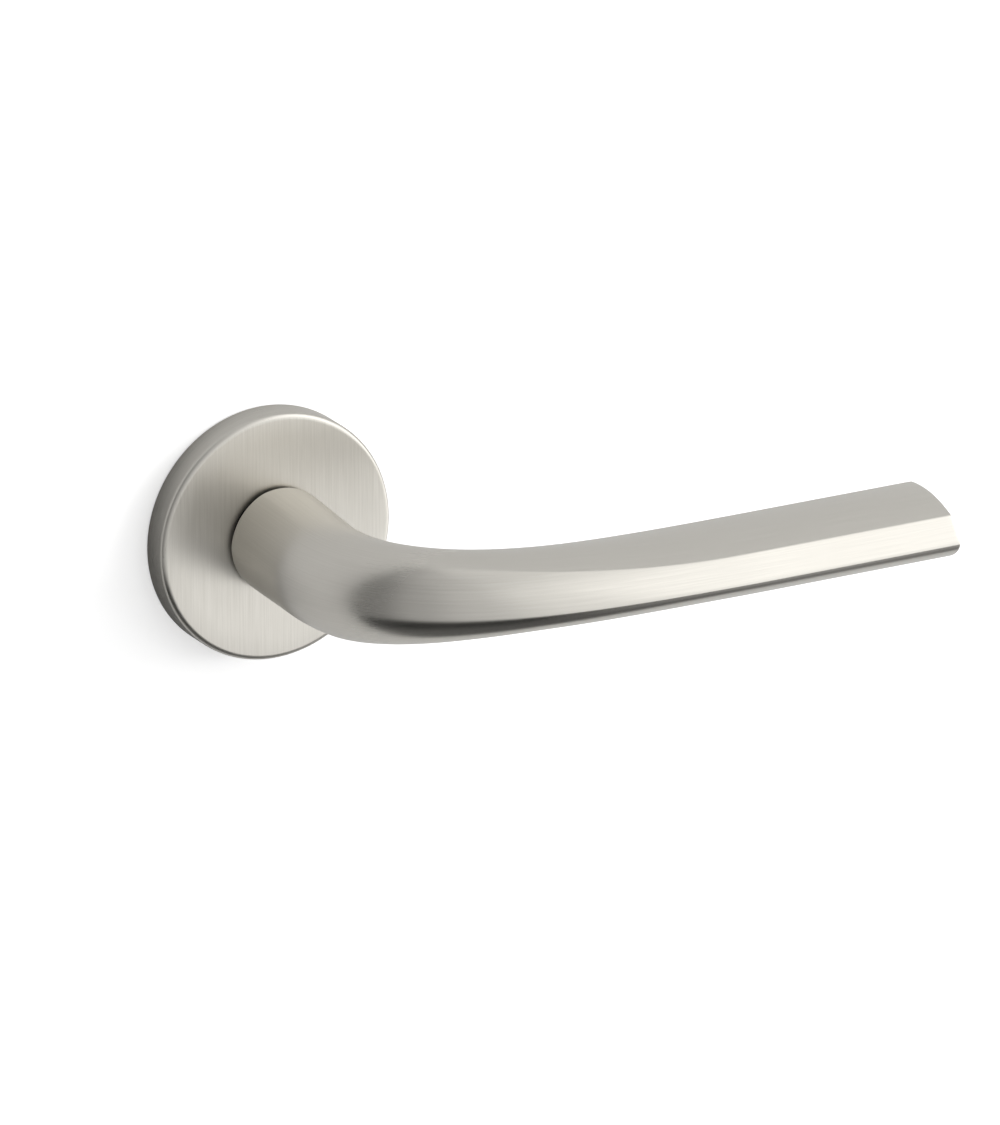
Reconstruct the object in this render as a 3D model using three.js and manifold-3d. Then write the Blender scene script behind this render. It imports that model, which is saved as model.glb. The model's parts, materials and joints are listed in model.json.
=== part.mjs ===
// A door lever handle on a round sprung rose, as a scene graph of separate pieces.
// Millimetres, +Z up. The door's face is the plane y = 0 and the room is on its -Y side.
// The origin is where the spindle's axis meets the door's face, and the grip points along +X.
// "Standoff" is the distance from the door's face into the room, so y = -standoff.

import * as THREE from "three";
import { mergeVertices } from "three/addons/utils/BufferGeometryUtils.js";
import Module from "manifold-3d";

const wasm = await Module();
wasm.setup();

// ---- Clearances ----
const RUNNING = 0.1; // radial gap of a turning fit
const SLIP = 0.15; // gap of a piece that is dropped into place
const GAP = 0.3; // gap between neighbours that never meet
const PRESS = 0.05; // gap drawn at a pressed or seated fit
const OVERLAP = 0.4; // how deep joined features run into each other
const THROUGH = 1; // how far a cutting tool runs past a face

// ---- Rose cover ----
const ROSE_RADIUS = 26;
const ROSE_DEPTH = 6.7;
const COVER_WALL = 1.0;
const COVER_EDGE_RADIUS = 1.2;
const COVER_HOLE_INSET = 0.5; // how far the neck's shoulder hides the cover's hole
const COVER_SIDE_GAP = 0.4; // around the base

// ---- Lever: neck, bend and grip ----
const NECK_RADIUS = 11.1; // at the rose
const BEND_RADIUS = 10.75; // of the round bar where it starts to flatten
const NECK_CHAMFER = 0.4;
const NECK_GAP = 0.9; // between the rose and the neck's shoulder
const NECK_END_STANDOFF = 29.1;
const NECK_LEAN = 1.5; // how far the neck has drifted away from the grip's side there
const BEND_OUT_HANDLE = 26.2; // length of the bend curve's first tangent
const BEND_END_X = 77.2;
const BEND_ALONG_HANDLE = 59.5; // length of the bend curve's last tangent
const GRIP_STANDOFF = 65.5;
const GRIP_END_X = 118.6;
const TIP_EDGE = 0.35;

// ---- Grip section: u is the distance to the room side of the lever's centre line ----
const NOSE_U = 10.35;
const RIDGE_U = 6.55;
const RIDGE_Z = 4.7;
const BACK_TOP_Z = 7.1;
const BACK_BOTTOM_Z = 6.0;
const TOP_CROWN = 1.2;
const UNDER_CROWN = 0.4;
const BACK_BULGE = 1.0;
const LOWER_ROUND_U = 10.7;
const LOWER_ROUND_Z = 5.25;
const RIDGE_ANGLE = 68; // where on the round neck the ridge begins, in degrees
const BACK_ANGLE = 139; // where on the round neck the back edges begin

// ---- Tenon, spindle and set screw ----
const TENON_FLAT_DEPTH = 0.7;
const TENON_BACK = 2.7; // how far the tenon stands behind the door's face
const SPINDLE_SIDE = 8;
const SPINDLE_CHAMFER = 0.8;
const SPINDLE_DEPTH = 28; // behind the door's face
const SPINDLE_IN_LEVER = 22;
const SET_SCREW_RADIUS = 3;
const SET_SCREW_LENGTH = 5.5;
const SET_SCREW_STANDOFF = 14;
const SET_SCREW_HEX = 3; // across flats
const SET_SCREW_HEX_DEPTH = 2.75;

// ---- Rose base ----
const BASE_FLOOR = 1.6;
const BASE_RIM = 1.7;
const HUB_WALL = 2;
const BUSH_WALL = 1.2;
const BUSH_FLANGE = 0.6;
const WASHER_SEAT_DEPTH = 0.7; // of the recess in the base's back

// ---- Return springs and their driver ----
const SPRING_HUB_SPACE = 1.25; // between the hub and the coils
const SPRING_AIR = 0.225; // above and below the coils
const SPRING_WIRE = 0.7;
const SPRING_TURNS = 11;
const SPRING_END_ANGLE = 2.2; // between a spring's wire centre and what it bears on
const DRIVER_THICKNESS = 1.25;
const PLATE_FRONT_GAP = 0.5; // between the spring plate and the cover
const LUG_ANGLE = 150;
const LUG_HALF_ANGLE = 6;
const SPRING_STOP_ANGLE = 36;
const STOP_WIDTH_ANGLE = 5;
const REST_STOP_GAP_ANGLE = 0.6;
const RIB_THICKNESS = 1;

// ---- Fixings ----
const BOLT_CENTRES = 38;
const BOLT_RADIUS = 2;
const BOLT_HEAD_RADIUS = 3.5;
const BOLT_HEAD_HEIGHT = 2;
const BOLT_HEAD_EDGE = [0.9, 0.7]; // how far the head's crown runs in and back
const BOLT_POINT = 0.5;
const BOLT_RECESS = [4.55, 0.9, 1.1]; // reach, width and depth of the cross
const BOLT_LENGTH = 20;
const POST_RADIUS = 3.8;
const POST_LENGTH = 6;
const SLEEVE_WALL = 1.1;
const SLEEVE_LENGTH = 14;
const WOOD_SCREW_RIM_GAP = 0.25; // between the head and the base's rim
const WOOD_SCREW_RADIUS = 1.75;
const WOOD_SCREW_HEAD_RADIUS = 2.75;
const WOOD_SCREW_LENGTH = 16;
const WOOD_SCREW_RECESS = [3.3, 0.8, 1];
const WOOD_SCREW_POINT = 2.4;
const WOOD_SCREW_SHANK = 2.6;
const SHANK_TAPER = 0.4;
const COUNTERSINK_FLOOR = 0.4; // of the base left under a wood screw's head
const THREAD_DEPTH = 0.35;
const THREAD_PITCH = 1.6;
const PLATE_THICKNESS = 0.35;
const PLATE_SCREW_RADIUS = 0.95;
const PLATE_SCREW_HEAD_RADIUS = 1.8;
const PLATE_SCREW_HEAD_HEIGHT = 0.35;
const PLATE_SCREW_RECESS = [1.8, 0.4, 0.175];
const PLATE_SCREW_ANGLE = 45;
const PILLAR_RADIUS = 2.2;
const SNAP_WIRE = 0.9;
const SNAP_OPENING_ANGLE = 16;
const WASHER_THICKNESS = 0.5;
const RING_THICKNESS = 0.9;
const RING_WIDTH = 2.3;
const RING_OPENING_ANGLE = 60;

// ---- Sizes worked out from the ones above ----
const coverInnerRadius = ROSE_RADIUS - COVER_WALL;
const coverInnerFront = ROSE_DEPTH - COVER_WALL;
const shoulderStandoff = ROSE_DEPTH + NECK_GAP;
const neckBaseRadius = NECK_RADIUS - NECK_CHAMFER;
const coverHoleRadius = neckBaseRadius - COVER_HOLE_INSET;
const baseRadius = coverInnerRadius - COVER_SIDE_GAP;
const baseHeight = coverInnerFront - GAP;
const rimInner = baseRadius - BASE_RIM;
const spindleBore = SPINDLE_SIDE + 2 * RUNNING;
// The tenon's wall and the glide ring share the room between the bore's corners and the cover's hole.
const tenonRadius = (spindleBore / Math.SQRT2 + coverHoleRadius) / 2;
const tenonFlat = tenonRadius - TENON_FLAT_DEPTH;
const bushInner = tenonRadius + RUNNING;
const bushOuter = bushInner + BUSH_WALL;
const hubBore = bushOuter + PRESS;
const hubRadius = hubBore + HUB_WALL;
const plateTop = coverInnerFront - PLATE_FRONT_GAP;
const plateLow = plateTop - PLATE_THICKNESS;
const driverTop = plateLow - SLIP;
const driverLow = driverTop - DRIVER_THICKNESS;
const flangeTop = driverLow - RUNNING;
const flangeLow = flangeTop - BUSH_FLANGE;
const hubTop = flangeLow - PRESS;
const springStandoff = (BASE_FLOOR + plateLow) / 2;
const coilRadius = (plateLow - BASE_FLOOR) / 2 - SPRING_AIR;
const trackRadius = hubRadius + SPRING_HUB_SPACE + coilRadius;
const trackInner = trackRadius - coilRadius;
const trackOuter = trackRadius + coilRadius;
const ribInner = trackOuter + GAP;
const ribOuter = ribInner + RIB_THICKNESS;
const ribTop = plateLow - 2 * RUNNING;
const boltX = BOLT_CENTRES / 2;
const woodScrewZ = rimInner - WOOD_SCREW_HEAD_RADIUS - WOOD_SCREW_RIM_GAP;
const pillarRadiusAt = (rimInner + ribOuter) / 2;
const grooveRadius = tenonFlat - GAP;
const washerRadius = hubRadius - GAP;
const washerFront = WASHER_SEAT_DEPTH - RUNNING;
const washerBack = washerFront - WASHER_THICKNESS;
const ringFront = washerBack - RUNNING;
const ringBack = ringFront - RING_THICKNESS;
const gripBackU = BACK_BULGE - NOSE_U;

// ---- Finishes ----
const finish = (color, roughness, metalness) =>
  new THREE.MeshStandardMaterial({ color, roughness, metalness });
const satinNickel = finish(0xc3c0b7, 0.34, 1);
const zincCasting = finish(0x9a9b9b, 0.55, 0.9);
const springSteel = finish(0x8b8e92, 0.3, 1);
const zincPlated = finish(0xb9bcc0, 0.35, 1);
const blackSteel = finish(0x2b2b2d, 0.45, 0.8);
const whiteNylon = finish(0xe9e6dc, 0.5, 0);
const blackNylon = finish(0x161616, 0.5, 0);

// ---- Solids: closed three.js geometry joined and cut ----
function solid(geometry) {
  const bare = geometry.index ? geometry.toNonIndexed() : geometry.clone();
  bare.deleteAttribute("normal");
  bare.deleteAttribute("uv");
  const merged = mergeVertices(bare, 1e-4);
  return new wasm.Manifold(
    new wasm.Mesh({
      numProp: 3,
      vertProperties: merged.attributes.position.array,
      triVerts: new Uint32Array(merged.index.array),
    }),
  );
}

function geometryOf(body) {
  const mesh = body.getMesh();
  const geometry = new THREE.BufferGeometry();
  geometry.setAttribute("position", new THREE.BufferAttribute(mesh.vertProperties, 3));
  geometry.setIndex(new THREE.BufferAttribute(mesh.triVerts, 1));
  const flat = geometry.toNonIndexed();
  flat.computeVertexNormals();
  return flat;
}

const joined = (first, ...others) => others.reduce((whole, other) => whole.add(other), first);
const cut = (body, ...tools) => tools.reduce((left, tool) => left.subtract(tool), body);

// Turned about the spindle's axis from [radius, standoff] corners, outer side first.
function turned(corners, segments = 36, at = [0, 0]) {
  const profile = corners.map(([radius, standoff]) => new THREE.Vector2(radius, standoff));
  const onAxis = corners[0][0] === 0 && corners[corners.length - 1][0] === 0;
  if (!onAxis) profile.push(profile[0].clone());
  const geometry = new THREE.LatheGeometry(profile, segments);
  geometry.rotateX(Math.PI);
  geometry.translate(at[0], 0, at[1]);
  return solid(geometry);
}

// A flat shape, drawn as seen from the room, from one standoff to another.
function plate(shape, low, high, curveSegments = 12) {
  const geometry = new THREE.ExtrudeGeometry(shape, {
    depth: high - low,
    bevelEnabled: false,
    curveSegments,
  });
  geometry.rotateX(Math.PI / 2);
  geometry.translate(0, -low, 0);
  return solid(geometry);
}

function disc(radius, low, high, at = [0, 0], segments = 16) {
  return turned([[0, low], [radius, low], [radius, high], [0, high]], segments, at);
}

function polygon(points) {
  return new THREE.Shape(points.map(([x, z]) => new THREE.Vector2(x, z)));
}

const radians = THREE.MathUtils.degToRad;

// A piece of a ring between two radii and two angles, in degrees from +X towards +Z.
function sector(inner, outer, from, to) {
  const shape = new THREE.Shape();
  shape.absarc(0, 0, outer, radians(from), radians(to), false);
  shape.absarc(0, 0, inner, radians(to), radians(from), true);
  shape.closePath();
  return shape;
}

// A round bar with a flat on each side, as seen from the room.
function doubleFlat(radius, flat) {
  const angle = Math.acos(flat / radius);
  const shape = new THREE.Shape();
  shape.absarc(0, 0, radius, angle, Math.PI - angle, false);
  shape.absarc(0, 0, radius, Math.PI + angle, 2 * Math.PI - angle, false);
  shape.closePath();
  return shape;
}

function squareShape(side, chamfer = 0) {
  const half = side / 2;
  const inner = half - chamfer;
  if (chamfer === 0) return polygon([[-half, -half], [half, -half], [half, half], [-half, half]]);
  return polygon([
    [-inner, -half], [inner, -half], [half, -inner], [half, inner],
    [inner, half], [-inner, half], [-half, inner], [-half, -inner],
  ]);
}

const ringShape = (inner, outer, low, high) => [[outer, low], [outer, high], [inner, high], [inner, low]];

// Cross recess in a screw head whose top is at a standoff.
function crossRecess([reach, width, depth], top, at) {
  const bar = (x, z) => {
    const geometry = new THREE.BoxGeometry(x, depth + THROUGH, z);
    geometry.translate(at[0], -(top + (THROUGH - depth) / 2), at[1]);
    return solid(geometry);
  };
  return bar(reach, width).add(bar(width, reach));
}

// ---- Lever ----
const smooth = (t) => {
  const k = THREE.MathUtils.clamp(t, 0, 1);
  return k * k * (3 - 2 * k);
};

// How far the round bar has turned into the grip section, along the bend from 0 to 1.
const frontShare = (t) => smooth((t - 0.23) / 0.67) ** 0.58;
const backShare = (t) => smooth((t + 0.25) / 1.26) ** 2.2;
const lowerShare = (t) => smooth((t - 0.1) / 0.43) ** 0.7;

const bendCurve = new THREE.CubicBezierCurve(
  new THREE.Vector2(-NECK_LEAN, NECK_END_STANDOFF),
  new THREE.Vector2(-NECK_LEAN, NECK_END_STANDOFF + BEND_OUT_HANDLE),
  new THREE.Vector2(BEND_END_X - BEND_ALONG_HANDLE, GRIP_STANDOFF),
  new THREE.Vector2(BEND_END_X, GRIP_STANDOFF),
);

// One stretch of the section: its points on the round neck, on the grip, and the share's mix.
function sectionStretch(steps, fromAngle, toAngle, gripPoint, weights) {
  return Array.from({ length: steps }, (_, i) => {
    const k = i / steps;
    const angle = radians(fromAngle + (toAngle - fromAngle) * k);
    return {
      round: [Math.cos(angle), Math.sin(angle)],
      grip: gripPoint(k),
      weights: weights(k),
    };
  });
}

const mix = (a, b, k) => a + (b - a) * k;
const arch = (k) => 4 * k * (1 - k);

// The section from the nose over the top to the back and under to the nose again.
// The weights say how much the front, back and lower shares count at each point.
const sectionPoints = [
  ...sectionStretch(
    4, 0, RIDGE_ANGLE,
    (k) => [mix(NOSE_U, RIDGE_U, k), mix(0, RIDGE_Z, k)],
    () => [1, 0, 0],
  ),
  ...sectionStretch(
    7, RIDGE_ANGLE, BACK_ANGLE,
    (k) => [mix(RIDGE_U, gripBackU, k), mix(RIDGE_Z, BACK_TOP_Z, k) + TOP_CROWN * arch(k)],
    (k) => [1 - smooth(k), smooth(k), 0],
  ),
  ...sectionStretch(
    6, BACK_ANGLE, 360 - BACK_ANGLE,
    (k) => [gripBackU - BACK_BULGE * Math.sin(Math.PI * k) ** 0.6, mix(BACK_TOP_Z, -BACK_BOTTOM_Z, k)],
    () => [0, 1, 0],
  ),
  ...sectionStretch(
    5, 360 - BACK_ANGLE, 270,
    (k) => [
      mix(gripBackU, NOSE_U - LOWER_ROUND_U, k),
      -mix(BACK_BOTTOM_Z, LOWER_ROUND_Z, k) - UNDER_CROWN * arch(k),
    ],
    (k) => [0, 1 - smooth(k), smooth(k)],
  ),
  ...sectionStretch(
    7, 270, 360,
    (k) => {
      const turn = (Math.PI / 2) * (1 - k);
      return [NOSE_U - LOWER_ROUND_U * (1 - Math.cos(turn)), -LOWER_ROUND_Z * Math.sin(turn)];
    },
    (k) => [smooth(k), 0, 1 - smooth(k)],
  ),
];

// Stations along the lever: where the centre is, which way it runs, its radius and its shares.
function leverStations() {
  const stations = [];
  const station = (x, standoff, direction, radius, along, scale = 1) =>
    stations.push({ x, standoff, direction, radius, along, scale });
  const neckDirection = new THREE.Vector2(0, 1);
  const gripDirection = new THREE.Vector2(1, 0);
  const neckSpan = NECK_END_STANDOFF - shoulderStandoff;
  const neckAt = (share, extra = 0) => {
    const standoff = shoulderStandoff + extra + (neckSpan - extra) * share;
    const drift = -NECK_LEAN * ((standoff - shoulderStandoff) / neckSpan);
    station(drift, standoff, neckDirection, mix(NECK_RADIUS, BEND_RADIUS, smooth(share)), 0);
  };
  station(0, shoulderStandoff, neckDirection, neckBaseRadius, 0);
  [0, 0.25, 0.5, 0.75].forEach((share) => neckAt(share, NECK_CHAMFER));
  const bendSteps = 30;
  for (let i = 0; i <= bendSteps; i++) {
    const along = i / bendSteps;
    const t = bendCurve.getUtoTmapping(along);
    const centre = bendCurve.getPoint(t);
    station(centre.x, centre.y, bendCurve.getTangent(t), BEND_RADIUS, along);
  }
  const gripSpan = GRIP_END_X - BEND_END_X;
  [0.35, 0.7].forEach((share) =>
    station(BEND_END_X + gripSpan * share, GRIP_STANDOFF, gripDirection, BEND_RADIUS, 1),
  );
  station(GRIP_END_X - TIP_EDGE, GRIP_STANDOFF, gripDirection, BEND_RADIUS, 1);
  station(GRIP_END_X, GRIP_STANDOFF, gripDirection, BEND_RADIUS, 1, 1 - TIP_EDGE / NOSE_U);
  return stations;
}

function leverRing({ x, standoff, direction, radius, along, scale }) {
  const shares = [frontShare(along), backShare(along), lowerShare(along)];
  return sectionPoints.map(({ round, grip, weights }) => {
    const share = weights.reduce((sum, weight, i) => sum + weight * shares[i], 0);
    const u = mix(round[0] * radius, grip[0], share) * scale;
    const z = mix(round[1] * radius, grip[1], share) * scale;
    return new THREE.Vector3(x - direction.y * u, -(standoff + direction.x * u), z);
  });
}

// Skins the rings into one closed surface with flat ends.
function loft(rings) {
  const count = rings[0].length;
  const positions = rings.flat().flatMap((point) => point.toArray());
  const triangles = [];
  for (let ring = 0; ring < rings.length - 1; ring++) {
    for (let i = 0; i < count; i++) {
      const a = ring * count + i;
      const b = ring * count + ((i + 1) % count);
      triangles.push(a, a + count, b, b, a + count, b + count);
    }
  }
  const last = (rings.length - 1) * count;
  for (let i = 1; i < count - 1; i++) {
    triangles.push(0, i, i + 1);
    triangles.push(last, last + i + 1, last + i);
  }
  const geometry = new THREE.BufferGeometry();
  geometry.setAttribute("position", new THREE.Float32BufferAttribute(positions, 3));
  geometry.setIndex(triangles);
  return solid(geometry);
}

// A round bar along Z, below the lever's centre line.
function barBelow(radius, top, bottom, segments = 20) {
  const geometry = new THREE.CylinderGeometry(radius, radius, top - bottom, segments);
  geometry.rotateX(Math.PI / 2);
  geometry.translate(0, -SET_SCREW_STANDOFF, (top + bottom) / 2);
  return solid(geometry);
}

const setScrewTip = -(SPINDLE_SIDE / 2 + RUNNING);

function lever() {
  const body = loft(leverStations().map(leverRing));
  const tenon = plate(doubleFlat(tenonRadius, tenonFlat), -TENON_BACK, shoulderStandoff + OVERLAP);
  const bore = plate(squareShape(spindleBore), -TENON_BACK - THROUGH, SPINDLE_IN_LEVER + SLIP);
  const groove = turned(
    ringShape(grooveRadius, tenonRadius + THROUGH, ringBack - RUNNING, ringFront + RUNNING),
  );
  const screwHole = barBelow(SET_SCREW_RADIUS + RUNNING, 0, -2 * NECK_RADIUS);
  return cut(joined(body, tenon), bore, groove, screwHole);
}

function setScrew() {
  const bottom = setScrewTip - SET_SCREW_LENGTH;
  const hexRadius = SET_SCREW_HEX / 2 / Math.cos(Math.PI / 6);
  return cut(
    barBelow(SET_SCREW_RADIUS, setScrewTip, bottom),
    barBelow(hexRadius, bottom + SET_SCREW_HEX_DEPTH, bottom - THROUGH, 6),
  );
}

function spindle() {
  return plate(squareShape(SPINDLE_SIDE, SPINDLE_CHAMFER), -SPINDLE_DEPTH, SPINDLE_IN_LEVER);
}

// ---- Rose ----
function roseCover() {
  const edge = [];
  const edgeSteps = 4;
  for (let i = 0; i <= edgeSteps; i++) {
    const angle = (Math.PI / 2) * (i / edgeSteps);
    edge.push([
      ROSE_RADIUS - COVER_EDGE_RADIUS * (1 - Math.cos(angle)),
      ROSE_DEPTH - COVER_EDGE_RADIUS * (1 - Math.sin(angle)),
    ]);
  }
  const innerChamfer = COVER_EDGE_RADIUS / 2;
  return turned(
    [
      [ROSE_RADIUS, 0],
      ...edge,
      [coverHoleRadius, ROSE_DEPTH],
      [coverHoleRadius, coverInnerFront],
      [coverInnerRadius - innerChamfer, coverInnerFront],
      [coverInnerRadius, coverInnerFront - innerChamfer],
      [coverInnerRadius, 0],
    ],
    60,
  );
}

const oppositeAngles = [0, 180];
const fixingSides = [-1, 1];
const pillarAngles = oppositeAngles.map((turn) => PLATE_SCREW_ANGLE + turn);
const pillarAt = (angle) => [
  pillarRadiusAt * Math.cos(radians(angle)),
  pillarRadiusAt * Math.sin(radians(angle)),
];
const snapGrooveDepth = SNAP_WIRE - (coverInnerRadius - baseRadius) + GAP;
const snapGrooveLow = (baseHeight - SNAP_WIRE) / 2 - SLIP;
const snapGrooveHigh = snapGrooveLow + SNAP_WIRE + 2 * SLIP;
const springFrom = LUG_ANGLE - LUG_HALF_ANGLE;
const restStopFrom = LUG_ANGLE + LUG_HALF_ANGLE + REST_STOP_GAP_ANGLE;
const countersinkDepth = WOOD_SCREW_HEAD_RADIUS - WOOD_SCREW_RADIUS;

function roseBase() {
  const grooveFloor = baseRadius - snapGrooveDepth;
  const pan = turned(
    [
      [baseRadius, 0],
      [baseRadius, snapGrooveLow],
      [grooveFloor, snapGrooveLow],
      [grooveFloor, snapGrooveHigh],
      [baseRadius, snapGrooveHigh],
      [baseRadius, baseHeight],
      [rimInner, baseHeight],
      [rimInner, BASE_FLOOR],
      [hubRadius, BASE_FLOOR],
      [hubRadius, hubTop],
      [hubBore, hubTop],
      [hubBore, WASHER_SEAT_DEPTH],
      [washerRadius + SLIP, WASHER_SEAT_DEPTH],
      [washerRadius + SLIP, 0],
    ],
    48,
  );
  const low = BASE_FLOOR - OVERLAP;
  const stopInner = hubRadius - OVERLAP;
  const walls = oppositeAngles.flatMap((turn) => [
    plate(
      sector(ribInner, ribOuter, SPRING_STOP_ANGLE - STOP_WIDTH_ANGLE + turn, restStopFrom + STOP_WIDTH_ANGLE + turn),
      low, ribTop,
    ),
    plate(
      sector(trackInner - GAP, ribOuter - OVERLAP, SPRING_STOP_ANGLE - STOP_WIDTH_ANGLE + turn, SPRING_STOP_ANGLE + turn),
      low, ribTop,
    ),
    plate(
      sector(trackInner - GAP, ribOuter - OVERLAP, restStopFrom + turn, restStopFrom + STOP_WIDTH_ANGLE + turn),
      low, ribTop,
    ),
    plate(
      sector(stopInner, trackInner, SPRING_STOP_ANGLE - STOP_WIDTH_ANGLE + turn, SPRING_STOP_ANGLE + turn),
      low, hubTop,
    ),
  ]);
  const posts = fixingSides.map((side) => disc(POST_RADIUS, -POST_LENGTH, BASE_FLOOR / 2, [side * boltX, 0]));
  const pillars = pillarAngles.map((angle) => disc(PILLAR_RADIUS, low, ribTop, pillarAt(angle)));
  const boltBores = fixingSides.map((side) =>
    disc(BOLT_RADIUS + SLIP, -POST_LENGTH - THROUGH, BASE_FLOOR + THROUGH, [side * boltX, 0]),
  );
  const screwBores = fixingSides.map((side) =>
    turned(
      [
        [0, -THROUGH],
        [WOOD_SCREW_RADIUS + SLIP, -THROUGH],
        [WOOD_SCREW_RADIUS + SLIP, COUNTERSINK_FLOOR],
        [WOOD_SCREW_HEAD_RADIUS + SLIP, COUNTERSINK_FLOOR + countersinkDepth],
        [WOOD_SCREW_HEAD_RADIUS + SLIP, BASE_FLOOR + THROUGH],
        [0, BASE_FLOOR + THROUGH],
      ],
      16,
      [0, side * woodScrewZ],
    ),
  );
  const pillarBores = pillarAngles.map((angle) =>
    disc(PLATE_SCREW_RADIUS + RUNNING, BASE_FLOOR + OVERLAP, ribTop + THROUGH, pillarAt(angle), 12),
  );
  return cut(joined(pan, ...walls, ...posts, ...pillars), ...boltBores, ...screwBores, ...pillarBores);
}

function neckBush() {
  return turned([
    [bushOuter, WASHER_SEAT_DEPTH],
    [bushOuter, flangeLow],
    [hubRadius - GAP, flangeLow],
    [hubRadius - GAP, flangeTop],
    [bushInner, flangeTop],
    [bushInner, WASHER_SEAT_DEPTH],
  ]);
}

function glideRing() {
  const top = shoulderStandoff - SLIP;
  return turned(ringShape(bushInner + RUNNING, coverHoleRadius - 2 * RUNNING, plateTop + RUNNING, top));
}

function springDriver() {
  const rim = new THREE.Shape();
  rim.absarc(0, 0, hubRadius + GAP, 0, 2 * Math.PI, false);
  rim.holes.push(doubleFlat(tenonRadius + RUNNING, tenonFlat + RUNNING));
  const lugs = oppositeAngles.flatMap((turn) => {
    const from = LUG_ANGLE - LUG_HALF_ANGLE + turn;
    const to = LUG_ANGLE + LUG_HALF_ANGLE + turn;
    return [
      plate(sector(hubRadius - OVERLAP, trackInner + OVERLAP, from, to), driverLow, driverTop, 8),
      plate(sector(trackInner, trackOuter, from, to), BASE_FLOOR + GAP, driverTop, 8),
    ];
  });
  return joined(plate(rim, driverLow, driverTop), ...lugs);
}

// A coil spring that lies along an arc of the spring track.
class ArcCoil extends THREE.Curve {
  constructor(fromAngle, toAngle) {
    super();
    this.fromAngle = fromAngle;
    this.toAngle = toAngle;
  }
  getPoint(t, target = new THREE.Vector3()) {
    const angle = radians(mix(this.fromAngle, this.toAngle, t));
    const turn = 2 * Math.PI * SPRING_TURNS * t;
    const coil = coilRadius - SPRING_WIRE / 2;
    const radius = trackRadius + coil * Math.cos(turn);
    return target.set(
      radius * Math.cos(angle),
      -(springStandoff + coil * Math.sin(turn)),
      radius * Math.sin(angle),
    );
  }
}

function returnSpring(turn) {
  const curve = new ArcCoil(SPRING_STOP_ANGLE + SPRING_END_ANGLE + turn, springFrom - SPRING_END_ANGLE + turn);
  const wire = new THREE.Shape();
  wire.absarc(0, 0, SPRING_WIRE / 2, 0, 2 * Math.PI, false);
  return solid(
    new THREE.ExtrudeGeometry(wire, {
      extrudePath: curve,
      steps: SPRING_TURNS * 7,
      curveSegments: 3,
      bevelEnabled: false,
    }),
  );
}

function springPlate() {
  const sheet = turned(ringShape(tenonRadius + 2 * GAP, rimInner - GAP, plateLow, plateTop), 48);
  const low = plateLow - THROUGH;
  const high = plateTop + THROUGH;
  const boltWindows = fixingSides.map((side) => disc(BOLT_HEAD_RADIUS + GAP, low, high, [side * boltX, 0]));
  const screwWindows = fixingSides.map((side) =>
    disc(WOOD_SCREW_HEAD_RADIUS + GAP, low, high, [0, side * woodScrewZ]),
  );
  const holes = pillarAngles.map((angle) => disc(PLATE_SCREW_RADIUS + RUNNING, low, high, pillarAt(angle), 12));
  return cut(sheet, ...boltWindows, ...screwWindows, ...holes);
}

function plateScrew(angle) {
  const headLow = plateTop + PRESS;
  const top = headLow + PLATE_SCREW_HEAD_HEIGHT;
  const at = pillarAt(angle);
  const body = turned(
    [
      [0, BASE_FLOOR + 2 * OVERLAP],
      [PLATE_SCREW_RADIUS, BASE_FLOOR + 2 * OVERLAP],
      [PLATE_SCREW_RADIUS, headLow],
      [PLATE_SCREW_HEAD_RADIUS, headLow],
      [PLATE_SCREW_HEAD_RADIUS, top],
      [0, top],
    ],
    12,
    at,
  );
  return cut(body, crossRecess(PLATE_SCREW_RECESS, top, at));
}

// A split wire ring in the groove of the base's rim, which grips the cover.
function snapRing() {
  const radius = baseRadius - snapGrooveDepth + SLIP + SNAP_WIRE / 2;
  const opening = radians(SNAP_OPENING_ANGLE);
  const middle = -(snapGrooveLow + snapGrooveHigh) / 2;
  class Arc extends THREE.Curve {
    getPoint(t, target = new THREE.Vector3()) {
      const angle = mix(opening / 2, 2 * Math.PI - opening / 2, t) - Math.PI / 2;
      return target.set(radius * Math.cos(angle), middle, radius * Math.sin(angle));
    }
  }
  const wire = new THREE.Shape();
  wire.absarc(0, 0, SNAP_WIRE / 2, 0, 2 * Math.PI, false);
  return solid(
    new THREE.ExtrudeGeometry(wire, {
      extrudePath: new Arc(),
      steps: 48,
      curveSegments: 3,
      bevelEnabled: false,
    }),
  );
}

function thrustWasher() {
  return turned(ringShape(tenonRadius + 2 * RUNNING, washerRadius, washerBack, washerFront));
}

// An external retaining ring in the tenon's groove, with an eye at each end for pliers.
function retainingRing() {
  const inner = grooveRadius + RUNNING;
  const outer = inner + RING_WIDTH;
  const half = RING_OPENING_ANGLE / 2;
  const body = plate(sector(inner, outer, 270 + half, 630 - half), ringBack, ringFront, 20);
  const eyeRadius = RING_WIDTH / 2;
  const middle = (inner + outer) / 2;
  const eyes = [270 - half, 270 + half].map((angle) => [
    middle * Math.cos(radians(angle)),
    middle * Math.sin(radians(angle)),
  ]);
  const lobes = eyes.map((at) => disc(eyeRadius, ringBack, ringFront, at, 12));
  const holes = eyes.map((at) => disc(eyeRadius / 2, ringBack - THROUGH, ringFront + THROUGH, at, 8));
  return cut(joined(body, ...lobes), ...holes);
}

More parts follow.
